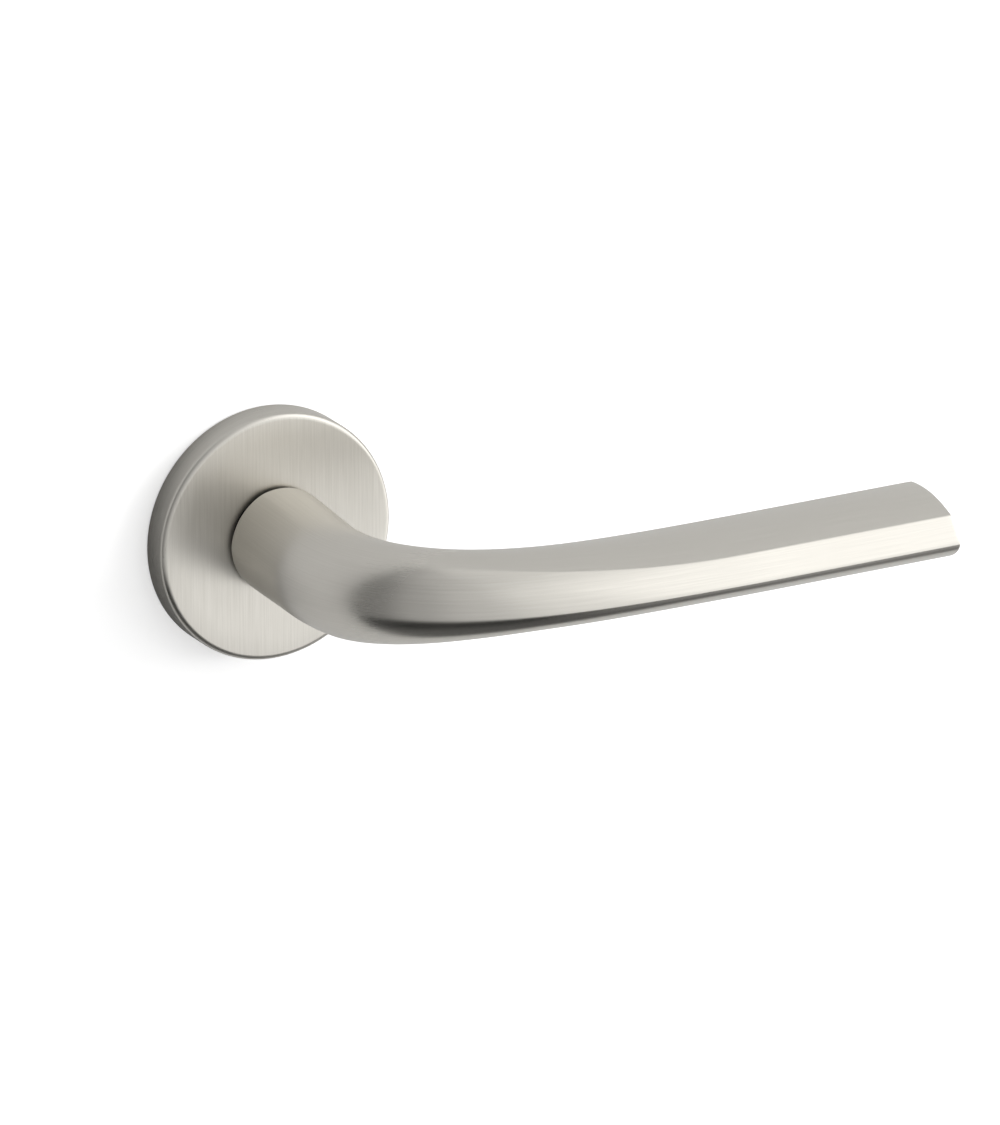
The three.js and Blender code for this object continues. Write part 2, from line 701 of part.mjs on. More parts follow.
// ---- Fixings ----
function bolt(side) {
  const headLow = BASE_FLOOR + PRESS;
  const headTop = headLow + BOLT_HEAD_HEIGHT;
  const [crownIn, crownBack] = BOLT_HEAD_EDGE;
  const at = [side * boltX, 0];
  const body = turned(
    [
      [0, -BOLT_LENGTH],
      [BOLT_RADIUS - BOLT_POINT, -BOLT_LENGTH],
      [BOLT_RADIUS, -BOLT_LENGTH + BOLT_POINT],
      [BOLT_RADIUS, headLow],
      [BOLT_HEAD_RADIUS, headLow],
      [BOLT_HEAD_RADIUS, headTop - crownBack],
      [BOLT_HEAD_RADIUS - crownIn, headTop],
      [0, headTop],
    ],
    20,
    at,
  );
  return cut(body, crossRecess(BOLT_RECESS, headTop, at));
}

function boltSleeve(side) {
  const inner = BOLT_RADIUS + RUNNING;
  const outer = inner + SLEEVE_WALL;
  const front = -POST_LENGTH - GAP;
  return turned(ringShape(inner, outer, front - SLEEVE_LENGTH, front), 20, [side * boltX, 0]);
}

function woodScrew(side) {
  const at = [0, side * woodScrewZ];
  const headTop = COUNTERSINK_FLOOR + countersinkDepth + GAP;
  const headEdge = headTop - GAP / 2;
  const seat = headEdge - countersinkDepth;
  const tip = headTop - WOOD_SCREW_LENGTH;
  const core = WOOD_SCREW_RADIUS - THREAD_DEPTH;
  const threads = [];
  const turns = Math.floor((WOOD_SCREW_LENGTH - WOOD_SCREW_POINT - WOOD_SCREW_SHANK) / THREAD_PITCH);
  for (let i = 0; i < turns; i++) {
    const low = tip + WOOD_SCREW_POINT + i * THREAD_PITCH;
    threads.push([core, low], [WOOD_SCREW_RADIUS, low + THREAD_PITCH / 2]);
  }
  const body = turned(
    [
      [0, tip],
      ...threads,
      [core, seat - 2 * SHANK_TAPER],
      [WOOD_SCREW_RADIUS, seat - SHANK_TAPER],
      [WOOD_SCREW_RADIUS, seat],
      [WOOD_SCREW_HEAD_RADIUS, headEdge],
      [WOOD_SCREW_HEAD_RADIUS, headTop],
      [0, headTop],
    ],
    14,
    at,
  );
  return cut(body, crossRecess(WOOD_SCREW_RECESS, headTop, at));
}

// ---- Assembly ----
const handle = new THREE.Group();
const rose = new THREE.Group();
const turning = new THREE.Group();
handle.add(rose, turning);

function piece(group, name, body, material) {
  const mesh = new THREE.Mesh(geometryOf(body), material);
  mesh.name = name;
  group.add(mesh);
}

piece(turning, "lever", lever(), satinNickel);
piece(turning, "set_screw", setScrew(), blackSteel);
piece(turning, "spindle", spindle(), zincPlated);
piece(turning, "spring_driver", springDriver(), zincPlated);
piece(turning, "thrust_washer", thrustWasher(), springSteel);
piece(turning, "retaining_ring", retainingRing(), blackSteel);

piece(rose, "rose_cover", roseCover(), satinNickel);
piece(rose, "rose_base", roseBase(), zincCasting);
piece(rose, "neck_bush", neckBush(), whiteNylon);
piece(rose, "glide_ring", glideRing(), blackNylon);
piece(rose, "spring_plate", springPlate(), zincPlated);
piece(rose, "cover_snap_ring", snapRing(), springSteel);

["upper", "lower"].forEach((place, i) => {
  const side = 1 - 2 * i;
  const turn = oppositeAngles[i];
  piece(rose, `return_spring_${place}`, returnSpring(turn), springSteel);
  piece(rose, `plate_screw_${place}`, plateScrew(pillarAngles[i]), zincPlated);
  piece(rose, `wood_screw_${place}`, woodScrew(side), zincPlated);
});

["left", "right"].forEach((place, i) => {
  const side = fixingSides[i];
  piece(rose, `bolt_${place}`, bolt(side), zincPlated);
  piece(rose, `bolt_sleeve_${place}`, boltSleeve(side), zincPlated);
});

export default handle;
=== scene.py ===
"""A door lever handle on a round sprung rose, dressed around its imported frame.

Units are metres. The door's face is the plane y = 0, the room is on its -Y side and the grip
points along +X. "Standoff" is the distance from the door's face into the room, so y = -standoff.
"""

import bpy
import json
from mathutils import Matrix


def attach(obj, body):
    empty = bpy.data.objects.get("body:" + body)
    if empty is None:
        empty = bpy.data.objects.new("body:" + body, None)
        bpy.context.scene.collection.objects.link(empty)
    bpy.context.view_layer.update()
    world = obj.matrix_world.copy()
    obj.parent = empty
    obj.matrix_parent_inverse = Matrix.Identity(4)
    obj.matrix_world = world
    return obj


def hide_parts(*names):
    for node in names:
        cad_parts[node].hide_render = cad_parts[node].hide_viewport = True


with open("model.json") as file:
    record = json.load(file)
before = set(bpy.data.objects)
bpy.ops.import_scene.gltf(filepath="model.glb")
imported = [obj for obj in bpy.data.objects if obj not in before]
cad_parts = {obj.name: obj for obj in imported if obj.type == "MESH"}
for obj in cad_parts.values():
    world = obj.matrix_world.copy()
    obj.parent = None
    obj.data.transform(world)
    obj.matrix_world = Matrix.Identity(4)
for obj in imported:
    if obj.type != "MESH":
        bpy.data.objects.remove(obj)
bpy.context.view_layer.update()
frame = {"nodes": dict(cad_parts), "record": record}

import json
import logging
import math
from dataclasses import dataclass, field
from enum import Enum
from typing import Callable, Iterable, Sequence

import bmesh
import bpy
from mathutils import Vector

logging.basicConfig(level=logging.INFO, format="%(message)s")
log = logging.getLogger("lever_handle")

Pair = tuple[float, float]
Colour = tuple[float, float, float]
MM = 0.001
WELD = 1e-7  # corners closer than this are one corner
GRAIN = "grain"  # the name of the map that the brushed grain follows
GRAIN_SCALE = 10.0  # grain map units to a metre
ACROSS_THE_DOOR = (0, 1, 0)


class Body(Enum):
    """The two bodies that pieces ride on."""

    ROSE = "rose"
    HANDLE = "handle"


class Slot(Enum):
    """The record's material slots."""

    NICKEL = "satin_nickel"
    ZINC_CASTING = "zinc_casting"
    ZINC_PLATED = "zinc_plated_steel"
    SPRING_STEEL = "spring_steel"
    BLACK_STEEL = "black_steel"
    NYLON = "white_nylon"
    BLACK_NYLON = "black_nylon"


# ---------------------------------------------------------------- small maths


def mix(a: float, b: float, share: float) -> float:
    """Returns the value a share of the way from a to b."""
    return a + (b - a) * share


def smooth(t: float) -> float:
    """Returns an eased step from 0 to 1."""
    k = min(max(t, 0.0), 1.0)
    return k * k * (3 - 2 * k)


def arch(t: float) -> float:
    """Returns a parabola that is 0 at both ends and 1 in the middle."""
    return 4 * t * (1 - t)


# ---------------------------------------------------------------- node sketch


class NodeSketch:
    """Adds and links shader nodes in one node tree."""

    def __init__(self, tree: bpy.types.NodeTree) -> None:
        """Clears the tree.

        Args:
            tree: the node tree to draw in.
        """
        self.tree = tree
        self.tree.nodes.clear()

    def add(self, kind: str, **settings: object) -> bpy.types.Node:
        """Adds a node.

        Args:
            kind: the node's type name without its ShaderNode prefix.
            settings: properties of the node.

        Returns:
            The new node.
        """
        node = self.tree.nodes.new("ShaderNode" + kind)
        for name, value in settings.items():
            setattr(node, name, value)
        return node

    def link(self, source: bpy.types.NodeSocket, target: bpy.types.NodeSocket) -> None:
        """Links an output to an input."""
        self.tree.links.new(source, target)

    def scaled(
        self, source: bpy.types.NodeSocket, scale: Sequence[float]
    ) -> bpy.types.NodeSocket:
        """Stretches coordinates.

        Args:
            source: the coordinates.
            scale: the factor along each axis.

        Returns:
            The stretched coordinates.
        """
        mapping = self.add("Mapping")
        mapping.inputs["Scale"].default_value = scale
        self.link(source, mapping.inputs["Vector"])
        return mapping.outputs["Vector"]

    def noise(
        self,
        vector: bpy.types.NodeSocket,
        scale: float,
        detail: float = 3.0,
        roughness: float = 0.55,
    ) -> bpy.types.NodeSocket:
        """Adds a noise texture.

        Args:
            vector: its coordinates.
            scale: how fine it is.
            detail: how many octaves it has.
            roughness: how strong the finer octaves are.

        Returns:
            Its factor output.
        """
        node = self.add("TexNoise")
        node.inputs["Scale"].default_value = scale
        node.inputs["Detail"].default_value = detail
        node.inputs["Roughness"].default_value = roughness
        self.link(vector, node.inputs["Vector"])
        return node.outputs["Fac"]

    def ranged(
        self, source: bpy.types.NodeSocket, from_range: Pair, to_range: Pair
    ) -> bpy.types.NodeSocket:
        """Maps one range of values onto another.

        Args:
            source: the values.
            from_range: their lowest and highest.
            to_range: what those become.

        Returns:
            The mapped values.
        """
        node = self.add("MapRange")
        for label, value in zip(
            ("From Min", "From Max", "To Min", "To Max"), (*from_range, *to_range)
        ):
            node.inputs[label].default_value = value
        self.link(source, node.inputs["Value"])
        return node.outputs["Result"]

    def blended(
        self, share: bpy.types.NodeSocket, low: Colour, high: Colour
    ) -> bpy.types.NodeSocket:
        """Blends two colours by a share.

        Args:
            share: 0 for low and 1 for high.
            low: the first colour.
            high: the second colour.

        Returns:
            The blended colour.
        """
        node = self.add("Mix", data_type="RGBA")
        node.inputs[6].default_value = (*low, 1)
        node.inputs[7].default_value = (*high, 1)
        self.link(share, node.inputs[0])
        return node.outputs[2]

    def joined(
        self, operation: str, first: bpy.types.NodeSocket, second: bpy.types.NodeSocket
    ) -> bpy.types.Node:
        """Adds a math node on two values.

        Args:
            operation: what it does with them.
            first: the first value.
            second: the second value, or the third where the node has a factor between them.

        Returns:
            The math node.
        """
        node = self.add("Math", operation=operation)
        self.link(first, node.inputs[0])
        self.link(second, node.inputs[2 if operation == "MULTIPLY_ADD" else 1])
        return node

    def bumped(
        self, height: bpy.types.NodeSocket, strength: float, depth: float
    ) -> bpy.types.Node:
        """Adds a bump.

        Args:
            height: the height of the surface.
            strength: how much of it shows.
            depth: how deep it is.

        Returns:
            The bump node.
        """
        node = self.add("Bump")
        node.inputs["Strength"].default_value = strength
        node.inputs["Distance"].default_value = depth
        self.link(height, node.inputs["Height"])
        return node


@dataclass
class BlankFinish:
    """A new material with one shader, ready to be drawn on."""

    name: str
    material: bpy.types.Material = field(init=False)
    sketch: NodeSketch = field(init=False)
    shader: bpy.types.Node = field(init=False)
    output: bpy.types.Node = field(init=False)

    def __post_init__(self) -> None:
        """Makes the material, its shader and its output."""
        self.material = bpy.data.materials.new(self.name)
        self.material.use_nodes = True
        self.sketch = NodeSketch(self.material.node_tree)
        self.output = self.sketch.add("OutputMaterial")
        self.shader = self.sketch.add("BsdfPrincipled")
        self.sketch.link(self.shader.outputs["BSDF"], self.output.inputs["Surface"])


# ---------------------------------------------------------------- finishes


@dataclass(frozen=True)
class BrushedMetal:
    """Metal with a fine straight grain that follows the piece's own map.

    The map's U runs across the grain and its V along it. Extra roughness may be given to the
    stretch of the piece that is nearest the door.
    """

    name: str
    light: Colour
    dark: Colour
    roughness: Pair
    anisotropy: float
    across: float
    along: float
    bump: float
    near_door_extra: float = 0.0
    near_door_reach: Pair = (40 * MM, 62 * MM)
    bump_depth: float = 0.05 * MM
    cloud_scale: float = 60.0
    fine_share: float = 0.7

    def material(self) -> bpy.types.Material:
        """Returns the finish as a Blender material."""
        blank = BlankFinish(self.name)
        sketch, shader = blank.sketch, blank.shader
        shader.inputs["Metallic"].default_value = 1.0
        shader.inputs["Anisotropic"].default_value = self.anisotropy

        place = sketch.add("UVMap", uv_map=GRAIN).outputs["UV"]
        hair = sketch.scaled(place, (self.across, self.along, 1))
        strand = sketch.scaled(place, (self.across / 6, self.along / 3, 1))
        fine = sketch.noise(hair, 1.0, 4.0, 0.6)
        coarse = sketch.noise(strand, 1.0, 2.0)
        position = sketch.add("TexCoord").outputs["Object"]
        cloudy = sketch.noise(position, self.cloud_scale)

        grain = sketch.joined("MULTIPLY_ADD", fine, coarse)
        grain.inputs[1].default_value = self.fine_share
        tint = sketch.ranged(grain.outputs["Value"], (0.55, 1.15), (0.0, 1.0))
        sketch.link(
            sketch.blended(tint, self.dark, self.light), shader.inputs["Base Color"]
        )

        uneven = sketch.joined("ADD", cloudy, fine).outputs["Value"]
        parts = sketch.add("SeparateXYZ")
        sketch.link(position, parts.inputs["Vector"])
        reach = (-self.near_door_reach[1], -self.near_door_reach[0])
        matter = sketch.joined(
            "ADD",
            sketch.ranged(uneven, (0.7, 1.3), self.roughness),
            sketch.ranged(parts.outputs["Y"], reach, (0.0, self.near_door_extra)),
        )
        sketch.link(matter.outputs["Value"], shader.inputs["Roughness"])

        bump = sketch.bumped(fine, self.bump, self.bump_depth)
        sketch.link(bump.outputs["Normal"], shader.inputs["Normal"])
        tangent = sketch.add("Tangent", direction_type="UV_MAP", uv_map=GRAIN)
        sketch.link(tangent.outputs["Tangent"], shader.inputs["Tangent"])
        return blank.material


@dataclass(frozen=True)
class PlainMetal:
    """Metal whose finish has no direction: cast, plated, drawn or blackened."""

    name: str
    light: Colour
    dark: Colour
    roughness: Pair
    grain_scale: float = 900.0
    bump: float = 0.15
    bump_depth: float = 0.05 * MM
    edge: float = 0.25 * MM

    def material(self) -> bpy.types.Material:
        """Returns the finish as a Blender material, with softly rounded edges."""
        blank = BlankFinish(self.name)
        sketch, shader = blank.sketch, blank.shader
        shader.inputs["Metallic"].default_value = 1.0
        position = sketch.add("TexCoord").outputs["Object"]
        fine = sketch.noise(position, self.grain_scale, 4.0, 0.6)
        cloudy = sketch.noise(position, self.grain_scale / 7)
        tint = sketch.ranged(cloudy, (0.35, 0.65), (0.0, 1.0))
        sketch.link(
            sketch.blended(tint, self.dark, self.light), shader.inputs["Base Color"]
        )
        sketch.link(
            sketch.ranged(fine, (0.35, 0.65), self.roughness), shader.inputs["Roughness"]
        )
        bump = sketch.bumped(fine, self.bump, self.bump_depth)
        rounded = sketch.add("Bevel", samples=6)
        rounded.inputs["Radius"].default_value = self.edge
        sketch.link(rounded.outputs["Normal"], bump.inputs["Normal"])
        sketch.link(bump.outputs["Normal"], shader.inputs["Normal"])
        return blank.material


@dataclass(frozen=True)
class MouldedNylon:
    """Nylon: slightly translucent, with a faint moulded mottle."""

    name: str
    light: Colour
    dark: Colour
    roughness: Pair = (0.42, 0.58)
    mottle_scale: float = 220.0
    bump: float = 0.1
    bump_depth: float = 0.05 * MM

    def material(self) -> bpy.types.Material:
        """Returns the finish as a Blender material."""
        blank = BlankFinish(self.name)
        sketch, shader = blank.sketch, blank.shader
        shader.inputs["Subsurface Weight"].default_value = 0.15
        shader.inputs["Subsurface Scale"].default_value = 1 * MM
        position = sketch.add("TexCoord").outputs["Object"]
        mottle = sketch.noise(position, self.mottle_scale, 4.0)
        tint = sketch.ranged(mottle, (0.3, 0.7), (0.0, 1.0))
        sketch.link(
            sketch.blended(tint, self.dark, self.light), shader.inputs["Base Color"]
        )
        sketch.link(
            sketch.ranged(mottle, (0.3, 0.7), self.roughness), shader.inputs["Roughness"]
        )
        bump = sketch.bumped(mottle, self.bump, self.bump_depth)
        sketch.link(bump.outputs["Normal"], shader.inputs["Normal"])
        return blank.material


@dataclass
class Finishes:
    """Every material of the handle, made once."""

    lever: bpy.types.Material = field(init=False)
    rose_face: bpy.types.Material = field(init=False)
    rose_rim: bpy.types.Material = field(init=False)
    by_slot: dict[Slot, bpy.types.Material] = field(init=False)

    def __post_init__(self) -> None:
        """Builds the materials."""
        nickel = (0.72, 0.697, 0.645)
        self.lever = BrushedMetal(
            "satin_nickel_lever", nickel, (0.665, 0.642, 0.59), (0.20, 0.25),
            anisotropy=0.2, across=2200.0, along=14.0, bump=0.02, near_door_extra=0.11,
        ).material()
        self.rose_face = BrushedMetal(
            "satin_nickel_rose_face", nickel, (0.62, 0.598, 0.547), (0.36, 0.43),
            anisotropy=0.68, across=1500.0, along=16.0, bump=0.07,
        ).material()
        self.rose_rim = BrushedMetal(
            "satin_nickel_rose_rim", nickel, (0.66, 0.637, 0.585), (0.27, 0.33),
            anisotropy=0.3, across=900.0, along=9.0, bump=0.03,
        ).material()
        polished = {"grain_scale": 1500.0, "bump": 0.05, "bump_depth": 0.01 * MM}
        self.by_slot = {
            Slot.ZINC_CASTING: PlainMetal(
                "die_cast_zinc", (0.42, 0.43, 0.43), (0.33, 0.34, 0.34), (0.45, 0.62),
                grain_scale=700.0, bump=0.35, bump_depth=0.08 * MM,
            ).material(),
            Slot.ZINC_PLATED: PlainMetal(
                "bright_zinc_plating", (0.66, 0.67, 0.70), (0.60, 0.61, 0.63), (0.26, 0.34),
                **polished,
            ).material(),
            Slot.SPRING_STEEL: PlainMetal(
                "rolled_spring_steel", (0.42, 0.43, 0.45), (0.37, 0.38, 0.40), (0.27, 0.36),
                **polished,
            ).material(),
            Slot.BLACK_STEEL: PlainMetal(
                "black_oxide_steel", (0.045, 0.045, 0.05), (0.02, 0.02, 0.022), (0.32, 0.48),
            ).material(),
            Slot.NYLON: MouldedNylon(
                "moulded_nylon", (0.80, 0.78, 0.71), (0.72, 0.70, 0.62)
            ).material(),
            Slot.BLACK_NYLON: MouldedNylon(
                "moulded_black_nylon", (0.012, 0.012, 0.012), (0.006, 0.006, 0.006)
            ).material(),
        }


# ---------------------------------------------------------------- mesh helpers


def seat(place: Pair, radius: float, angle: float, standoff: float) -> Vector:
    """Places a point around an axis that runs out of the door.

    Args:
        place: where the axis is, as x and z.
        radius: the distance from it.
        angle: the angle from +X towards +Z, in radians.
        standoff: the distance from the door's face.

    Returns:
        The point.
    """
    return Vector(
        (place[0] + radius * math.cos(angle), -standoff, place[1] + radius * math.sin(angle))
    )


def finished_object(
    shape: bmesh.types.BMesh,
    name: str,
    materials: Sequence[bpy.types.Material],
    sharp_degrees: float = 35.0,
) -> bpy.types.Object:
    """Turns a bmesh into a smooth-shaded object with its hard edges kept.

    Args:
        shape: the mesh, which is freed.
        name: the piece's name.
        materials: its material slots.
        sharp_degrees: edges that turn by more than this stay hard.

    Returns:
        The new object, at the origin.
    """
    mesh = bpy.data.meshes.new(name)
    shape.to_mesh(mesh)
    shape.free()
    for polygon in mesh.polygons:
        polygon.use_smooth = True
    mesh.set_sharp_from_angle(angle=math.radians(sharp_degrees))
    for material in materials:
        mesh.materials.append(material)
    piece = bpy.data.objects.new(name, mesh)
    bpy.context.scene.collection.objects.link(piece)
    return piece


def ring_of(shape: bmesh.types.BMesh, points: Iterable[Vector]) -> list[bmesh.types.BMEdge]:
    """Adds a closed ring of edges.

    Args:
        shape: the mesh to add to.
        points: the ring's corners in order.

    Returns:
        The ring's edges.
    """
    corners = [shape.verts.new(point) for point in points]
    return [
        shape.edges.new((corner, corners[(i + 1) % len(corners)]))
        for i, corner in enumerate(corners)
    ]


def welded(shape: bmesh.types.BMesh) -> None:
    """Merges corners that meet and turns every face outwards."""
    bmesh.ops.remove_doubles(shape, verts=shape.verts, dist=WELD)
    bmesh.ops.recalc_face_normals(shape, faces=shape.faces)


def turn_round(
    shape: bmesh.types.BMesh,
    outline: Sequence[bmesh.types.BMVert | bmesh.types.BMEdge],
    steps: int,
) -> None:
    """Turns an outline once round the spindle's axis.

    Args:
        shape: the mesh that holds it.
        outline: its corners and edges.
        steps: how many facets go round.
    """
    bmesh.ops.spin(
        shape, geom=outline, cent=(0, 0, 0), axis=ACROSS_THE_DOOR, dvec=(0, 0, 0),
        angle=2 * math.pi, steps=steps, use_merge=True, use_duplicate=False,
    )
    welded(shape)


def loft(
    shape: bmesh.types.BMesh, rings: Sequence[Sequence[Vector]], closed: bool = False
) -> None:
    """Joins rings of equal length into a skin.

    Args:
        shape: the mesh to add to.
        rings: the rings in order.
        closed: joins the last ring to the first, instead of capping both ends.
    """
    corners = [[shape.verts.new(point) for point in ring] for ring in rings]
    count = len(corners[0])
    pairs = list(zip(corners, corners[1:]))
    if closed:
        pairs.append((corners[-1], corners[0]))
    for ring, after in pairs:
        for i in range(count):
            j = (i + 1) % count
            shape.faces.new((ring[i], ring[j], after[j], after[i]))
    if not closed:
        shape.faces.new(corners[0])
        shape.faces.new(corners[-1][::-1])
    welded(shape)


def drill(piece: bpy.types.Object, cutter: bmesh.types.BMesh, sharp_degrees: float = 40.0) -> None:
    """Makes the piece's modifiers part of its mesh and takes a shape out of it.

    Args:
        piece: the piece.
        cutter: the shape to take out, which is freed.
        sharp_degrees: edges that turn by more than this are hard.
    """
    tool = finished_object(cutter, "drill", [])
    cut = piece.modifiers.new("drilled", "BOOLEAN")
    cut.operation = "DIFFERENCE"
    cut.solver = "MANIFOLD"
    cut.object = tool
    whole = piece.data
    graph = bpy.context.evaluated_depsgraph_get()
    made = bpy.data.meshes.new_from_object(
        piece.evaluated_get(graph), preserve_all_data_layers=True, depsgraph=graph
    )
    piece.modifiers.clear()
    piece.data = made
    made.name = whole.name + "_drilled"
    bore = tool.data
    bpy.data.objects.remove(tool)
    bpy.data.meshes.remove(bore)
    bpy.data.meshes.remove(whole)
    made.set_sharp_from_angle(angle=math.radians(sharp_degrees))


# ---------------------------------------------------------------- lever


@dataclass
class Lever:
    """The lever: a round neck that bends and flattens into the grip, with a tenon behind."""

    neck_radius: float = 11.1 * MM
    bend_radius: float = 10.75 * MM
    neck_chamfer: float = 0.4 * MM
    shoulder: float = 7.6 * MM
    neck_end: float = 29.1 * MM
    neck_lean: float = 1.5 * MM
    bend_out_handle: float = 26.2 * MM
    bend_end_x: float = 77.2 * MM
    bend_along_handle: float = 59.5 * MM
    grip_standoff: float = 65.5 * MM
    grip_end_x: float = 118.6 * MM
    nose_u: float = 10.35 * MM
    ridge_u: float = 6.55 * MM
    ridge_z: float = 4.7 * MM
    back_top_z: float = 7.1 * MM
    back_bottom_z: float = 6.0 * MM
    top_crown: float = 1.2 * MM
    under_crown: float = 0.4 * MM
    back_bulge: float = 1.0 * MM
    lower_round_u: float = 10.7 * MM
    lower_round_z: float = 5.25 * MM
    ridge_angle: float = 68.0
    back_angle: float = 139.0
    tenon_radius: float = 7.999 * MM
    tenon_flat: float = 7.299 * MM
    tenon_back: float = 2.7 * MM
    bore_side: float = 8.2 * MM
    bore_end: float = 22.15 * MM
    groove_radius: float = 6.999 * MM
    groove: Pair = (-1.0 * MM, 0.1 * MM)
    tenon_chamfer: float = 0.3 * MM
    screw_hole: float = 3.1 * MM
    screw_standoff: float = 14 * MM
    tip_edge: tuple[Pair, ...] = (
        (0.33 * MM, 1.0), (0.08 * MM, 0.993), (0.01 * MM, 0.975),
        (0.01 * MM, 0.94), (0.01 * MM, 0.6), (0.01 * MM, 0.2),
    )  # how far behind the tip each last ring is, and its scale
    bend_stations: int = 44
    drill_steps: int = 64
    rounding_levels: int = 2

    def section(self) -> list[tuple[Pair, Pair, tuple[float, float, float]]]:
        """Returns the section's points: on the round neck, on the grip, and their weights.

        The weights say how much the front, back and lower shares count at each point.
        """
        back_u = self.back_bulge - self.nose_u
        points: list[tuple[Pair, Pair, tuple[float, float, float]]] = []

        def stretch(
            steps: Sequence[float],
            angles: Pair,
            grip: Callable[[float], Pair],
            weights: Callable[[float], tuple[float, float, float]],
        ) -> None:
            """Adds one stretch of the section.

            Args:
                steps: its points, as shares of the stretch.
                angles: where it starts and ends round the neck, in degrees.
                grip: gives a share's place on the grip.
                weights: gives a share's weights.
            """
            for k in steps:
                angle = math.radians(mix(*angles, k))
                points.append(((math.cos(angle), math.sin(angle)), grip(k), weights(k)))

        def lower(k: float) -> Pair:
            """Returns a point of the lower round, from the underside to the nose."""
            turn = math.pi / 2 * (1 - k)
            return (
                self.nose_u - self.lower_round_u * (1 - math.cos(turn)),
                -self.lower_round_z * math.sin(turn),
            )

        stretch(
            (0, 0.07, 0.25, 0.5, 0.75, 0.93), (0, self.ridge_angle),
            lambda k: (mix(self.nose_u, self.ridge_u, k), mix(0, self.ridge_z, k)),
            lambda k: (1, 0, 0),
        )
        stretch(
            (0, 0.025, 0.12, 0.28, 0.46, 0.64, 0.82, 0.96), (self.ridge_angle, self.back_angle),
            lambda k: (
                mix(self.ridge_u, back_u, k),
                mix(self.ridge_z, self.back_top_z, k) + self.top_crown * arch(k),
            ),
            lambda k: (1 - smooth(k), smooth(k), 0),
        )
        stretch(
            (0, 0.06, 0.2, 0.4, 0.6, 0.8, 0.94), (self.back_angle, 360 - self.back_angle),
            lambda k: (
                back_u - self.back_bulge * math.sin(math.pi * k) ** 0.6,
                mix(self.back_top_z, -self.back_bottom_z, k),
            ),
            lambda k: (0, 1, 0),
        )
        stretch(
            (0, 0.05, 0.25, 0.5, 0.75), (360 - self.back_angle, 270),
            lambda k: (
                mix(back_u, self.nose_u - self.lower_round_u, k),
                -mix(self.back_bottom_z, self.lower_round_z, k) - self.under_crown * arch(k),
            ),
            lambda k: (0, 1 - smooth(k), smooth(k)),
        )
        stretch(
            (0, 0.16, 0.32, 0.48, 0.64, 0.8, 0.93), (270, 360),
            lower,
            lambda k: (smooth(k), 0, 1 - smooth(k)),
        )
        return points

    @staticmethod
    def shares(along: float) -> tuple[float, float, float]:
        """Works out how far each side of the section has become the grip's.

        Args:
            along: how far along the bend, from 0 to 1.

        Returns:
            The shares of the front, the back and the lower side.
        """
        return (
            smooth((along - 0.23) / 0.67) ** 0.58,
            smooth((along + 0.25) / 1.26) ** 2.2,
            smooth((along - 0.1) / 0.43) ** 0.7,
        )

    def ring(
        self, centre: Pair, heading: Pair, radius: float, along: float, scale: float = 1.0
    ) -> list[Vector]:
        """Places one section.

        Args:
            centre: x and standoff of the lever's centre line.
            heading: the direction of travel there, as x and standoff.
            radius: the round bar's radius.
            along: how far along the bend, from 0 to 1.
            scale: shrinks the section about its centre.

        Returns:
            The section's points in order.
        """
        shares = self.shares(along)
        points = []
        for round_point, grip_point, weights in self.section():
            share = sum(w * s for w, s in zip(weights, shares))
            u = mix(round_point[0] * radius, grip_point[0], share) * scale
            z = mix(round_point[1] * radius, grip_point[1], share) * scale
            x = centre[0] - heading[1] * u
            standoff = centre[1] + heading[0] * u
            points.append(Vector((x, -standoff, z)))
        return points

    def bend_point(self, t: float) -> tuple[Vector, Vector]:
        """Works out a point of the bend, which is one smooth curve through four corners.

        Args:
            t: the curve's parameter, from 0 to 1.

        Returns:
            The centre line there and its direction, as x and standoff.
        """
        corners = [
            Vector((-self.neck_lean, self.neck_end)),
            Vector((-self.neck_lean, self.neck_end + self.bend_out_handle)),
            Vector((self.bend_end_x - self.bend_along_handle, self.grip_standoff)),
            Vector((self.bend_end_x, self.grip_standoff)),
        ]
        s = 1 - t
        point = (
            corners[0] * s**3
            + corners[1] * 3 * s * s * t
            + corners[2] * 3 * s * t * t
            + corners[3] * t**3
        )
        slope = (
            (corners[1] - corners[0]) * s * s
            + (corners[2] - corners[1]) * 2 * s * t
            + (corners[3] - corners[2]) * t * t
        )
        return point, slope.normalized()

    def bend_by_length(self) -> list[tuple[Vector, Vector, float]]:
        """Returns the bend's stations, evenly spaced: centre, heading and share of length."""
        fine = 400
        samples = [self.bend_point(i / fine) for i in range(fine + 1)]
        lengths = [0.0]
        for (a, _), (b, _) in zip(samples, samples[1:]):
            lengths.append(lengths[-1] + (b - a).length)
        stations = []
        sample = 0
        for i in range(self.bend_stations + 1):
            along = i / self.bend_stations
            while sample < fine and lengths[sample] < along * lengths[-1] - 1e-12:
                sample += 1
            stations.append((*samples[sample], along))
        return stations

    def outer_rings(self) -> list[list[Vector]]:
        """Returns the rings of the visible body, from the shoulder to the tip's flat end."""
        rings: list[list[Vector]] = []
        out, across = (0.0, 1.0), (1.0, 0.0)
        span = self.neck_end - self.shoulder
        base = self.neck_radius - self.neck_chamfer

        def neck(standoff: float, radius: float) -> None:
            """Adds a ring of the neck.

            Args:
                standoff: where it is.
                radius: its radius.
            """
            drift = -self.neck_lean * (standoff - self.shoulder) / span
            rings.append(self.ring((drift, standoff), out, radius, 0.0))

